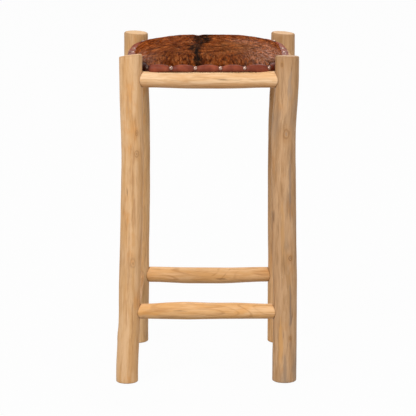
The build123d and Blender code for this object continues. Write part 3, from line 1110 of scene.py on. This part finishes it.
@dataclass
class HideSeat:
    """The hair-on hide over its foam and its board."""

    shape: PadShape
    around: int = 240
    shrink: float = 1.2 * MM
    thick: float = 3.8 * MM
    cap: float = 2.4 * MM
    strands: int = 110000
    hair_length: float = 13 * MM
    hair_width: float = 0.75 * MM
    finish: HideFinish = HideFinish()

    def make_board(self) -> None:
        """The plywood board, which follows the hide's edge and carries the foam."""
        flat = (0.0, 0.5, 0.85)
        levels = (-0.5, 1.0, 3.0, 4.5, 6.0, 7.5, 9.0, 11.3)
        stations = [(levels[0] * MM, out) for out in flat] + [(level * MM, 1.0) for level in levels]
        stations += [(levels[-1] * MM, out) for out in reversed(flat)]
        board = finished("plywood_board", self.shape.closed_form(stations, -2.9 * MM, 160), smooth=False)
        dress(board, PlywoodFinish().material(), "seat_board")

    def make_foam(self) -> None:
        """The foam block inside the hide."""
        shape, thick = self.shape, self.thick
        notches = [(spot, radius + thick) for spot, radius in shape.notches]
        inner = replace(shape, half_across=shape.half_across - thick, half_deep=shape.half_deep - thick,
                        height=shape.height - thick, notches=notches)
        foam = finished("foam_block", inner.crowned(11.9 * MM, 0.0, 120))
        dress(foam, FoamFinish().material(), "foam_pad")

    def swell(self, obj: Object) -> None:
        """Puffs the pad with cloth held along the nailed edge, and keeps how far it moves in bounds.

        Args:
            obj: the closed pad, whose mesh is replaced.
        """
        remesh = obj.modifiers.new("remesh", "REMESH")
        remesh.mode = "VOXEL"
        remesh.voxel_size = 4.5 * MM
        self.freeze(obj)
        held = obj.vertex_groups.new(name="held")
        rest = [vert.co.copy() for vert in obj.data.vertices]
        low = [i for i, co in enumerate(rest) if co.z - self.shape.base < self.shape.hair_line(co.y)]
        held.add(low, 1.0, "REPLACE")
        cloth = obj.modifiers.new("cloth", "CLOTH")
        cloth.settings.quality = 6
        cloth.settings.mass = 0.25
        cloth.settings.tension_stiffness = 12
        cloth.settings.compression_stiffness = 12
        cloth.settings.bending_stiffness = 3
        cloth.settings.use_pressure = True
        cloth.settings.uniform_pressure_force = 4
        cloth.settings.vertex_group_mass = "held"
        cloth.settings.effector_weights.gravity = 0
        cloth.collision_settings.use_collision = False
        for step in range(1, 21):
            bpy.context.scene.frame_set(step)
        self.freeze(obj)
        bpy.context.scene.frame_set(1)
        for vert, before in zip(obj.data.vertices, rest):
            move = vert.co - before
            if move.length > self.cap:
                vert.co = before + move * (self.cap / move.length)

    def freeze(self, obj: Object) -> None:
        """Applies an object's modifiers.

        Args:
            obj: the object, whose mesh is replaced.
        """
        graph = bpy.context.evaluated_depsgraph_get()
        mesh = bpy.data.meshes.new_from_object(obj.evaluated_get(graph))
        obj.modifiers.clear()
        old = obj.data
        obj.data = mesh
        bpy.data.meshes.remove(old)

    def soften(self, obj: Object) -> None:
        """Smooths the pad and subdivides it.

        Args:
            obj: the pad.
        """
        bm = bmesh.new()
        bm.from_mesh(obj.data)
        axes = {"use_axis_x": True, "use_axis_y": True, "use_axis_z": True}
        for _ in range(3):
            bmesh.ops.smooth_vert(bm, verts=bm.verts, factor=0.5, **axes)
        bmesh.ops.subdivide_edges(bm, edges=bm.edges, cuts=1, use_grid_fill=True, smooth=0.6)
        for face in bm.faces:
            face.smooth = True
        bm.to_mesh(obj.data)
        bm.free()

    def coat_colour(self, place: Array, rng: Chance) -> Array:
        """Colours hairs by where they grow, with painted shade on the front slope and beside the front posts,
        and painted highlights, sheen and glints on the hair.

        Args:
            place: one row of plan position and height for each hair.
            rng: the source of chance.

        Returns:
            One linear colour for each hair.
        """
        look = self.finish
        x, y = place[:, 0] - self.shape.centre.x, place[:, 1]
        count = len(x)
        low, fine = noise_over(x, y, 3.1, 22, 22), noise_over(x, y, 7.7, 90, 90)
        lie = self.base_flow(place)
        along, over = x * lie[:, 0] + y * lie[:, 1], x * lie[:, 1] - y * lie[:, 0]
        locks = noise_over(along, over, 2.2, 95, 470)
        tone = np.array(linear(look.middle)[:3])
        tone = towards(tone, look.dark, 0.27 + 2.3 * locks + 0.20 * low)
        # Lighter golden hair where the broad noise rises, and a painted highlight on the lighter locks.
        tone = towards(tone, look.gold_and_highlight, 0.04 + 0.40 * low - 1.9 * locks)
        # Painted shade: where the pad turns down at the front, the hair is mixed towards the dark tone and
        # dimmed.
        front = share_of(-y, 0.095, 0.05) * np.clip((0.118 - np.abs(x)) / 0.03 + 0.2, 0, 1)
        tone = towards(tone, look.dark, front * 0.30)
        tone = tone * (1 - 0.22 * share_of(-y, 0.06, 0.06))[:, None]
        # Painted sheen: a greyish patch on the right, where the hair lies sideways.
        sheen_swath = oval(x, y - 0.12 * (x - 0.05), (0.055, -0.055), (0.05, 0.042))
        tone = towards(tone, look.sheen_grey, 0.40 * sheen_swath + 0.4 * fine * sheen_swath)
        # Painted highlights: pale strands near both front corners and along the crest right of the middle, on
        # half the hairs.
        right, left = oval(x, y, (0.115, -0.09), (0.04, 0.05)), oval(x, y, (-0.135, -0.11), (0.03, 0.05))
        crest = np.exp(-(((y + 0.01) / 0.03) ** 2)) * share_of(x, 0.02, 0.03)
        wisp_highlights = np.clip(right * 0.6 + left * 0.55 + crest * 0.3, 0, 1) * (rng.random(count) < 0.5)
        tone = towards(tone, look.highlight_pale, wisp_highlights)
        glints = share_of(noise_over(along, over, 4.4, 130, 440), 0.27, 1 / 3.5)
        tone = towards(tone, look.glint, glints * 0.38)
        streak = self.streak(x, y, fine) * np.clip(0.75 + 1.2 * locks + 0.5 * rng.random(count), 0.35, 1)
        tone = towards(tone, look.black, streak * 1.1)
        # Painted shade: the hair is darkened in the recesses beside the two front posts.
        tone = tone * (1 - 0.75 * oval(np.abs(x), y, (0.126, -0.128), (0.009, 0.018)))[:, None]
        light = 1 + 0.34 * rng.standard_normal(count)
        return tone * np.clip(light, 0.45, 1.7)[:, None]

    def streak(self, x: Array, y: Array, fine: Array) -> Array:
        """The dark streak along the middle.

        Args:
            x: places from left to right.
            y: places from front to back.
            fine: a noise that moves its edge.

        Returns:
            How much each place belongs to it.
        """
        spine = ((-0.17, -0.020, 0.0045), (-0.13, -0.020, 0.0060), (-0.115, -0.021, 0.0040),
                 (-0.10, -0.023, 0.0075), (-0.08, -0.025, 0.0090), (-0.065, -0.024, 0.0070),
                 (-0.048, -0.018, 0.0030), (-0.03, -0.013, 0.0085), (0.0, -0.012, 0.0110),
                 (0.03, -0.013, 0.0100), (0.09, -0.010, 0.0070), (0.17, -0.012, 0.0050))
        back, middle, width = np.array(spine).T
        away = np.abs(x + self.shape.centre.x - np.interp(y, back, middle) - 0.004 * fine)
        return np.clip(1.5 - away / np.interp(y, back, width), 0, 1)

    def base_flow(self, place: Array) -> Array:
        """Which way the coat lies before its locks part: outwards from the dark streak, and down in front.

        Args:
            place: one row of position for each hair.

        Returns:
            One unit vector in plan for each hair.
        """
        x, y = place[:, 0] + 0.02, place[:, 1]
        sweep = share_of(y, -0.12, 0.06)
        out_x = np.sign(x) * np.sqrt(np.abs(x)) * (0.16 + 0.9 * sweep) * 0.35
        out_y = -0.028 - 0.10 * (1 - sweep) + 0.10 * share_of(y, 0.06, 0.08)
        size = np.hypot(out_x, out_y)
        return np.stack([out_x / size, out_y / size], axis=1)

    def flow(self, place: Array, rng: Chance) -> Array:
        """Which way hairs lie, in plan.

        Args:
            place: one row of position for each hair.
            rng: the source of chance.

        Returns:
            One unit vector for each hair.
        """
        lie = self.base_flow(place)
        turn = np.arctan2(lie[:, 1], lie[:, 0])
        clump = noise_over(place[:, 0], place[:, 1], 1.3, 130, 130)
        broad = noise_over(place[:, 0], place[:, 1], 5.3, 30, 30)
        turn = turn + 0.34 * clump + 0.30 * broad + 0.09 * rng.standard_normal(len(turn))
        return np.stack([np.cos(turn), np.sin(turn), np.zeros(len(turn))], axis=1)

    def scatter(self, mesh: bpy.types.Mesh, rng: Chance) -> tuple[Array, Array, Array]:
        """Spreads roots evenly over the part of the pad above the strip.

        Args:
            mesh: the pad.
            rng: the source of chance.

        Returns:
            The roots, the surface's direction at each, and each one's height above the hair line.
        """
        mesh.calc_loop_triangles()
        verts = np.array([v.co for v in mesh.vertices])
        tris = np.array([t.vertices for t in mesh.loop_triangles])
        a, b, c = verts[tris[:, 0]], verts[tris[:, 1]], verts[tris[:, 2]]
        cross = np.cross(b - a, c - a)
        area = np.linalg.norm(cross, axis=1) / 2
        normal = cross / (2 * area[:, None] + 1e-12)
        middle = (a + b + c) / 3
        line = np.array([self.shape.hair_line(y) for y in middle[:, 1]])
        over_line = middle[:, 2] - self.shape.base - line
        keep = (normal[:, 2] > 0.05) & (over_line > 0)
        a, b, c, area, normal = a[keep], b[keep], c[keep], area[keep], normal[keep]
        count = self.strands
        pick = rng.choice(len(area), size=count, p=area / area.sum())
        first, second = rng.random(count), rng.random(count)
        flip = first + second > 1
        first[flip], second[flip] = 1 - first[flip], 1 - second[flip]
        root = a[pick] + (b[pick] - a[pick]) * first[:, None] + (c[pick] - a[pick]) * second[:, None]
        return root, normal[pick], over_line[keep][pick]

    def grow_hair(self, skin: Object) -> None:
        """Grows short hair as thin tapered ribbons, one piece for each quarter of the seat.

        Args:
            skin: the finished pad.
        """
        mesh = skin.data
        rng = np.random.default_rng(11)
        root, up, over_line = self.scatter(mesh, rng)
        count = len(root)
        lie = self.flow(root, rng)
        lie = lie - up * np.sum(lie * up, axis=1)[:, None]
        lie = lie / np.linalg.norm(lie, axis=1)[:, None]
        length = self.hair_length * (0.75 + 0.5 * rng.random(count))
        length *= np.clip(0.3 + over_line / (12 * MM), 0.3, 1.0)
        corners = [Vector(np.array(v.co)) for v in mesh.vertices]
        tree = BVHTree.FromPolygons(corners, [tuple(p.vertices) for p in mesh.polygons])
        mid, tip = root + lie * (length * 0.5)[:, None], root + lie * length[:, None]
        lift = 0.6 * MM + 1.9 * MM * rng.random(count) ** 2
        for points, share in ((mid, 0.75), (tip, 1.0)):
            for i in range(count):
                spot, facing, _, _ = tree.find_nearest(Vector(points[i]))
                points[i] = spot + facing * (lift[i] * share + 0.15 * MM)
        root = root - up * 0.4 * MM
        across = np.cross(lie, up)
        across /= np.linalg.norm(across, axis=1)[:, None]
        roll = rng.standard_normal(count) * 0.35
        across = across * np.cos(roll)[:, None] + up * np.sin(roll)[:, None]
        half = across * (self.hair_width * (0.6 + 0.6 * rng.random(count)) / 2)[:, None]
        tone = self.coat_colour(root, rng)
        layers = np.stack([root - half, root + half, mid + half * 0.85, mid - half * 0.85, tip], axis=1)
        # Painted shade at each root (0.6) and a painted highlight at each tip (1.15).
        tones_with_painted_shade = np.stack([tone * s for s in (0.6, 0.6, 1.0, 1.0, 1.15)], axis=1)
        quarter = (root[:, 0] > self.shape.centre.x).astype(int) + 2 * (root[:, 1] > 0)
        material = self.finish.hair_material()
        for index, corner in enumerate(Corner):
            rows = quarter == index
            self.make_ribbons("hide_hair_" + corner.value, layers[rows], tones_with_painted_shade[rows], material)

    def make_ribbons(self, name: str, layers: Array, tones_with_painted_shade: Array, material: Material) -> None:
        """Turns hairs into one mesh of ribbons, each a four-sided face with a pointed tip.

        Args:
            name: the piece's name.
            layers: five points for each hair.
            tones_with_painted_shade: five colours for each hair, darker at the root as painted shade and
                lighter at the tip as a painted highlight.
            material: the hair's material.
        """
        start = np.arange(len(layers))[:, None] * 5
        quads, tips = start + np.array([[0, 1, 2, 3]]), start + np.array([[3, 2, 4]])
        hair = bpy.data.meshes.new(name)
        hair.from_pydata(layers.reshape(-1, 3).tolist(), [], quads.tolist() + tips.tolist())
        store_coat(hair, tones_with_painted_shade.reshape(-1, 3))
        hair.polygons.foreach_set("use_smooth", [True] * len(hair.polygons))
        dress(placed(name, hair), material)

    def build(self) -> None:
        """Builds the foam, the board, the swollen hide and its hair."""
        self.make_foam()
        self.make_board()
        skin = finished("hide_skin", self.shape.crowned(0.4 * MM, -self.shrink, self.around))
        self.swell(skin)
        self.soften(skin)
        spots = np.array([v.co for v in skin.data.vertices])
        tone = self.coat_colour(spots, np.random.default_rng(5)) * 0.8
        line = np.array([self.shape.base + self.shape.hair_line(spot[1]) - 1 * MM for spot in spots])
        # Below the hair line the skin is darkened: partly its darker hairless leather, partly painted shade
        # on the flank below the strip.
        tone[spots[:, 2] < line] *= 0.4
        store_coat(skin.data, tone)
        dress(skin, self.finish.skin_material(), "hide_cover")
        self.grow_hair(skin)


@dataclass(frozen=True)
class FoamFinish:
    """Open-cell foam."""

    tone: str = "#e3d6b4"
    pores: str = "#c9b98f"

    def material(self) -> Material:
        """Pale foam with fine cells.

        Returns:
            The material.
        """
        n = Nodes("foam")
        cells = n.noise(n.space(), 900, 2)
        n.set(Base_Color=n.blend(n.fit(cells, 0.3, 0.7), self.tone, self.pores), Roughness=0.95)
        n.bump(cells, 0.5, 0.5 * MM)
        return n.owner


@dataclass(frozen=True)
class PlywoodFinish:
    """Plywood with a plain face and plies along its edge."""

    face: str = "#c9a878"
    streak: str = "#b18a58"
    ply: str = "#8a6238"

    def material(self) -> Material:
        """Veneer on the faces and thin dark plies between.

        Returns:
            The material.
        """
        n = Nodes("plywood_board")
        grain = n.noise(n.space("", (1, 0.08, 1)), 120, 4, 0.6, 0.5)
        bands = {"wave_type": "BANDS", "bands_direction": "Z", "Scale": 130.0, "Distortion": 0.4}
        plies = n.add("TexWave", n.space(), **bands).outputs["Fac"]
        tone = n.blend(n.fit(grain, 0.35, 0.65), self.face, self.streak)
        n.set(Base_Color=n.blend(n.fit(plies, 0.4, 0.6, 0.0, 0.25), tone, self.ply), Roughness=0.7)
        n.bump(grain, 0.2, 0.3 * MM)
        return n.owner


@dataclass(frozen=True)
class StripFinish:
    """Smooth reddish leather with a soft sheen, and painted shade where it is pinched at the nails, on its
    faces turned to the pad and at the front corners.
    """

    tone: str = "#8a4229"
    deep: str = "#6a2d1a"
    light: str = "#a0583a"
    painted_shade: str = "#3b1711"

    def material(self) -> Material:
        """Leather with a fine grain.

        Returns:
            The material.
        """
        n = Nodes("strip_leather")
        pebbles = n.add("TexVoronoi", feature="SMOOTH_F1", Scale=900.0, Vector=n.space()).outputs["Distance"]
        clouds = n.noise(n.space(), 60, 3)
        tone = n.blend(n.fit(clouds, 0.3, 0.7), self.deep, self.tone)
        tone = n.blend(n.fit(clouds, 0.55, 0.8, 0.0, 0.6), tone, self.light)
        # Painted shade, read from the strip's mesh attribute.
        tone = n.blend(n.attribute("painted_shade"), tone, self.painted_shade)
        n.set(Base_Color=tone, Roughness=n.fit(clouds, 0.3, 0.7, 0.46, 0.60), Specular_IOR_Level=0.16)
        n.bump(n.work_out("ADD", pebbles, clouds), 0.3, 0.25 * MM)
        return n.owner


@dataclass(frozen=True)
class NailFinish:
    """Aged metal with a warm tint."""

    dull: str = "#8c6c5e"
    bright: str = "#b99a8c"
    tarnish_and_shade: str = "#2a1d18"

    def material(self) -> Material:
        """Worn nail metal.

        Returns:
            Worn nail metal, with tarnish, and painted shade on the nails at the front-left corner.
        """
        n = Nodes("nail_metal")
        wear = n.noise(n.space(), 500, 3, 0.6)
        tone = n.blend(n.fit(wear, 0.35, 0.65), self.dull, self.bright)
        tone = n.blend(n.attribute("tarnish_and_shade"), tone, self.tarnish_and_shade)
        n.set(Base_Color=tone, Roughness=n.fit(wear, 0.3, 0.7, 0.24, 0.4), Metallic=1.0)
        n.bump(wear, 0.2, 0.1 * MM)
        return n.owner


@dataclass(frozen=True)
class SteelFinish:
    """Zinc-plated steel with a thread's shadow lines."""

    dull: str = "#a9a9a6"
    bright: str = "#c4c4c0"

    def material(self) -> Material:
        """Grey metal, ribbed by its thread.

        Returns:
            The material.
        """
        n = Nodes("zinc_steel")
        grain = n.noise(n.space(), 700, 3, 0.6)
        bands = {"wave_type": "BANDS", "bands_direction": "Z", "Scale": 160.0}
        thread = n.add("TexWave", n.space(), **bands).outputs["Fac"]
        tone = n.blend(n.fit(grain, 0.3, 0.7), self.dull, self.bright)
        n.set(Base_Color=tone, Roughness=n.fit(grain, 0.3, 0.7, 0.28, 0.45), Metallic=1.0)
        n.bump(thread, 0.5, 0.4 * MM)
        return n.owner


@dataclass(frozen=True)
class PlasticFinish:
    """Dark moulded plastic."""

    dark: str = "#2b2622"
    light: str = "#3a332d"

    def material(self) -> Material:
        """Plastic with a faint grain.

        Returns:
            The material.
        """
        n = Nodes("glide_plastic")
        grain = n.noise(n.space(), 1200, 2)
        tone = n.blend(n.fit(grain, 0.3, 0.7), self.dark, self.light)
        n.set(Base_Color=tone, Roughness=n.fit(grain, 0.3, 0.7, 0.5, 0.65))
        n.bump(grain, 0.3, 0.1 * MM)
        return n.owner


@dataclass
class EdgeStrip:
    """The leather strip round the seat's edge, pinched at its nails."""

    shape: PadShape
    step: float = 1.6 * MM
    butt: float = 0.4 * MM
    samples: int = 1440
    inner: float = 0.2 * MM
    thickness: float = 1.8 * MM
    drop: float = 1.6 * MM
    half_pitch: float = 23.5 * MM
    nail_share: float = 0.52
    nail_places: tuple = (-117.5, -70.5, -23.5, 23.5, 70.5, 117.5)
    path: list = field(default_factory=list)
    stops: dict[Side, list[int]] = field(default_factory=dict)

    def lay_path(self) -> None:
        """Samples the edge in even steps, from the butt joint at the back and round again."""
        turns = [math.radians(90 + i * 360 / self.samples) for i in range(self.samples + 1)]
        raw = [self.shape.contour(turn, 0.0, 0.0) for turn in turns]
        lengths = np.cumsum([0.0] + [(after - before).length for before, after in zip(raw, raw[1:])])
        count = int(lengths[-1] / self.step)
        places = np.linspace(self.butt, lengths[-1] - self.butt, count)
        xs, ys = (np.interp(places, lengths, [point[axis] for point in raw]) for axis in (0, 1))
        points = [Vector((x, y, 0)) for x, y in zip(xs, ys)]
        self.find_stops(points)
        nails = [stop for group in self.stops.values() for stop in group]
        for i, point in enumerate(points):
            along = (points[min(i + 2, count - 1)] - points[max(i - 2, 0)]).normalized()
            gap = min(abs(places[i] - places[stop]) for stop in nails)
            self.path.append((point, Vector((along.y, -along.x, 0)), gap))

    def find_stops(self, points: list[Vector]) -> None:
        """Finds the path's steps that the nails of each side go through.

        Args:
            points: the path's plan points.
        """
        facings = {Side.FRONT: (0, -1, 0), Side.BACK: (0, 1, 0), Side.LEFT: (-1, 0, 0), Side.RIGHT: (1, 0, 0)}
        for side, (x, y, _) in facings.items():
            facing, run = Vector((x, y, 0)), Vector((abs(y), abs(x), 0))
            self.stops[side] = []
            for offset in self.nail_places:
                outwards = [0.05 * (p - self.shape.centre).dot(facing) for p in points]
                scores = [abs(p.dot(run) - offset * MM) - out for p, out in zip(points, outwards)]
                self.stops[side].append(int(np.argmin(scores)))

    def reach(self, point: Vector, gap: float) -> tuple[float, float]:
        """The heights above the pad's base at which the strip starts and ends.

        Args:
            point: the edge's plan point.
            gap: the distance to the nearest nail.

        Returns:
            The lower and the upper height.
        """
        side = self.shape.side_share(point.y)
        share = 1 - min(gap / self.half_pitch, 1.0)
        drop = self.drop + 2.0 * MM * eased(abs(point.x), 0.075, 0.035)
        low = -drop * (1 - side) + (2.4 * MM + self.shape.rise(point.y)) * side
        full, dip = 9.8 * MM * (1 - side) + 4.6 * MM * side, 3.4 * MM * (1 - side) + 0.8 * MM * side
        return low, max(low, 0.0) * side + full - dip * share**2.0

    def surface(self, point: Vector, out: Vector, height: float, away: float) -> Vector:
        """A point over the pad's side.

        Args:
            point: the edge's plan point.
            out: the outward direction in plan.
            height: the height above the pad's base.
            away: how far outside the pad's surface it is.

        Returns:
            The point in the row frame.
        """
        below, above = (self.shape.drawn_at(point, out, height + step) for step in (-0.5 * MM, 0.5 * MM))
        facing = (out + Vector((0, 0, (above - below) / MM))).normalized()
        upright = Vector((0, 0, self.shape.base + height))
        return point - out * ((below + above) / 2) + upright + facing * away

    def nail_seat(self, stop: int) -> tuple[Vector, Vector]:
        """Where a nail's head sits and which way it faces.

        Args:
            stop: the path's step that the nail goes through.

        Returns:
            The middle of the head's seat and its outward direction.
        """
        point, out, _ = self.path[stop]
        low, high = self.reach(point, self.half_pitch)
        middle = low + (high - low) * self.nail_share
        low, high = (self.surface(point, out, middle + step, 0.0) for step in (-1.2 * MM, 1.2 * MM))
        facing = out.cross(Vector((0, 0, 1))).cross((high - low).normalized())
        facing = facing if facing.dot(out) > 0 else -facing
        return self.surface(point, out, middle, self.inner + 0.62 * self.thickness), facing.normalized()

    def build(self) -> None:
        """Builds the strip as one closed band with rounded edges."""
        self.lay_path()
        inside, outside = (0.0, 0.25, 0.5, 0.75, 1.0), (0.96, 0.85, 0.7, 0.5, 0.3, 0.12)
        section = [(up, 0.0) for up in inside] + [(1.03, 0.35), (1.02, 0.75)]
        section += [(up, 1.0) for up in outside] + [(0.02, 0.95), (-0.02, 0.5)]
        bm = bmesh.new()
        bmesh.ops.create_grid(bm, x_segments=len(self.path) - 1, y_segments=len(section), size=0.5)
        painted_shade = bm.verts.layers.float.new("painted_shade")
        for vert in bm.verts:
            point, out, gap = self.path[round((vert.co.x + 0.5) * (len(self.path) - 1))]
            up, through = section[round((vert.co.y + 0.5) * len(section)) % len(section)]
            low, top = self.reach(point, gap)
            pinch = math.exp(-((gap / (6.0 * MM)) ** 2))
            puff = (1 - pinch) * 1.5 * MM * math.sin(math.pi * min(max(up, 0.0), 1.0)) ** 0.7
            wrinkle = 0.35 * MM * noise.noise(Vector((point.x * 160, point.y * 160, up * 2.0)))
            away = self.inner + through * (self.thickness * (1 - 0.35 * pinch) + puff + wrinkle)
            vert.co = self.surface(point, out, low + up * (top - low), away)
            # Painted shade: the leather is darkened where it is pinched at the nails, on the faces turned to
            # the pad and in the recesses at the front corners.
            corner = eased(-point.x, 0.108, 0.007) + 0.5 * eased(point.x, 0.122, 0.006)
            corner_shade = 0.9 * eased(-point.y, 0.105, 0.020) * corner
            inner_shade = 0.5 if through < 0.8 else 0.0
            vert[painted_shade] = min(1.0, 0.75 * pinch * (0.35 + abs(up - 0.45)) + inner_shade + corner_shade)
        bmesh.ops.remove_doubles(bm, verts=bm.verts, dist=WELD)
        bmesh.ops.holes_fill(bm, edges=[edge for edge in bm.edges if edge.is_boundary], sides=0)
        dress(finished("edge_strip_leather", bm), StripFinish().material(), "edge_strip")


@dataclass
class Nails:
    """The domed nails along each side."""

    strip: EdgeStrip
    radius: float = 3.9 * MM
    dome: float = 2.8 * MM
    shank: float = 12.0 * MM
    point: float = 0.25 * MM
    neck: float = 1.1 * MM

    def build(self, side: Side, material: Material) -> None:
        """Builds one side's nails as smooth domes with a rim, on square shanks.

        Args:
            side: the side.
            material: the nails' metal.
        """
        node = "nails_" + side.value
        bm = bmesh.new()
        tarnish_and_shade = bm.verts.layers.float.new("tarnish_and_shade")
        for stop in self.strip.stops[side]:
            seat, out = self.strip.nail_seat(stop)
            # Painted shade: the nails at the front-left corner, in the dark recess by the post, get 0.85; the
            # others get a little random tarnish.
            tarnish_and_shade_level = 0.85 if max(seat.x, seat.y) < -0.09 else 0.15 + 0.15 * noise.noise(seat * 40)
            place = Matrix.Translation(seat) @ out.to_track_quat("Z", "Y").to_matrix().to_4x4()
            dome = bmesh.ops.create_uvsphere(bm, u_segments=20, v_segments=14, radius=1.0)["verts"]
            bmesh.ops.delete(bm, geom=[v for v in dome if v.co.z < -1e-4], context="VERTS")
            dome = [v for v in dome if v.is_valid]
            for vert in dome:
                wide = self.radius * (1.0 if vert.co.z > 0.1 else 1.06)
                vert.co = place @ Vector((vert.co.x * wide, vert.co.y * wide, vert.co.z * self.dome))
            rim = {edge for vert in dome for edge in vert.link_edges if edge.is_boundary}
            bmesh.ops.holes_fill(bm, edges=list(rim), sides=0)
            ends = {"radius1": self.point, "radius2": self.neck, "depth": self.shank}
            shank = bmesh.ops.create_cone(bm, cap_ends=True, segments=4, **ends)["verts"]
            sunk = place @ Matrix.Translation((0, 0, -self.shank / 2))
            bmesh.ops.transform(bm, matrix=sunk, verts=shank)
            for vert in (*dome, *shank):
                vert[tarnish_and_shade] = tarnish_and_shade_level
        dress(finished(node + "_domes", bm), material, node)


@dataclass
class Hardware:
    """The screws, inserts and stems, which keep their CAD shapes, and the glides' pads."""

    softening: float = 0.5 * MM

    def build(self) -> None:
        """Gives each CAD node that stays its material, and the pads their rounded form."""
        steel, plastic = SteelFinish().material(), PlasticFinish().material()
        for node in ("seat_screws", "leg_inserts", *("glide_stem_" + corner.value for corner in Corner)):
            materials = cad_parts[node].data.materials
            materials.clear()
            materials.append(steel)
        for corner in Corner:
            self.glide_pad(corner, plastic)

    def glide_pad(self, corner: Corner, material: Material) -> None:
        """A hexagonal pad with rounded edges, in place of the CAD's sharp one.

        Args:
            corner: the post that it stands under.
            material: its plastic.
        """
        node = "glide_pad_" + corner.value
        low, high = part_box(node)
        wide, deep, tall = high - low
        radius = min(wide, deep) / math.sqrt(3)
        bm = bmesh.new()
        bmesh.ops.create_cone(bm, cap_ends=True, segments=6, radius1=radius, radius2=radius, depth=tall)
        turn = Matrix.Rotation(math.radians(30 if wide < deep else 0), 4, "Z")
        bmesh.ops.transform(bm, matrix=Matrix.Translation((low + high) / 2) @ turn, verts=bm.verts)
        rounding = {"offset": self.softening, "segments": 3, "profile": 0.5}
        bmesh.ops.bevel(bm, geom=list(bm.edges), affect="EDGES", material=-1, **rounding)
        dress(finished(node + "_moulded", bm), material, node, "glide_" + corner.value)


@dataclass
class Studio:
    """Floor, lights and camera of the photograph."""

    sensor: float = 36.0
    focal: float = 2529.0 / 416.0 * 36.0
    place: tuple = (0.0, -4.936, 1.403)
    tilt: float = 12.41
    floor_size: float = 6.0
    aim: tuple = (0.0, 0.0, 0.35)

    def show(self, n: Nodes, lit: Socket, seen: Socket, most: float) -> None:
        """Shows one shader to the camera, in reflections and through glass, and another to other rays.

        Args:
            n: the nodes of the floor or the world.
            lit: the shader that lights the scene.
            seen: the shader that is seen.
            most: the share of it that is seen.
        """
        rays = n.add("LightPath").outputs
        share = n.work_out("MAXIMUM", rays["Is Camera Ray"], rays["Is Glossy Ray"])
        share = n.work_out("MULTIPLY", n.work_out("MAXIMUM", share, rays["Is Transmission Ray"]), most)
        n.give(n.output.inputs["Surface"], n.add("MixShader", share, lit, seen).outputs[0])

    def floor(self) -> None:
        """A pale floor that reads as white behind the stool and takes its shadow."""
        bm = bmesh.new()
        bmesh.ops.create_grid(bm, x_segments=1, y_segments=1, size=self.floor_size)
        obj = finished("floor", bm)
        n = Nodes("floor_white")
        n.set(Roughness=0.9, Base_Color=(0.36, 0.36, 0.36, 1.0))
        white = n.add("Emission", Color=WHITE, Strength=1.0)
        self.show(n, n.shader.outputs["BSDF"], white.outputs["Emission"], 0.97)
        obj.data.materials.append(n.owner)

    def world(self) -> None:
        """White where it is seen, and soft light everywhere else."""
        n = Nodes("studio", world=True)
        n.set(Color=WHITE, Strength=1.0)
        soft = n.add("Background", Color=(1.0, 0.99, 0.97, 1.0), Strength=0.51)
        self.show(n, soft.outputs[0], n.shader.outputs[0], 1.0)
        bpy.context.scene.world = n.owner

    def lamp(self, name: str, place: tuple, size: float, power: float) -> None:
        """A soft square lamp that faces the stool.

        Args:
            name: the lamp's name.
            place: where it hangs.
            size: its side.
            power: its power in watts.
        """
        data = bpy.data.lights.new(name, "AREA")
        data.size = size
        data.energy = power
        obj = placed(name, data)
        obj.location = place
        obj.rotation_euler = (Vector(self.aim) - Vector(place)).to_track_quat("-Z", "Y").to_euler()

    def build(self) -> None:
        """Sets the stage."""
        self.floor()
        self.world()
        self.lamp("key", (-2.4, -4.0, 4.4), 2.4, 268.0)
        self.lamp("fill", (3.6, -3.4, 2.6), 2.4, 74.0)
        self.lamp("back", (0.8, 3.2, 3.6), 2.0, 66.0)
        data = bpy.data.cameras.new("camera")
        data.sensor_width = self.sensor
        data.lens = self.focal
        camera = placed("camera", data)
        camera.location = self.place
        camera.rotation_euler = (math.radians(90 - self.tilt), 0, 0)
        bpy.context.scene.camera = camera
        bpy.context.scene.view_settings.view_transform = "Standard"


def main() -> None:
    """Builds the stool's looks and the studio."""
    logging.basicConfig(level=logging.INFO, format="%(message)s")
    wood = WoodFrame()
    wood.build()
    shape = PadShape(wood.notches(632 * MM, 5.2 * MM))
    HideSeat(shape).build()
    strip = EdgeStrip(shape)
    strip.build()
    metal = NailFinish().material()
    nails = Nails(strip)
    for side in Side:
        nails.build(side, metal)
    Hardware().build()
    Studio().build()


if __name__ == "__main__":
    main()
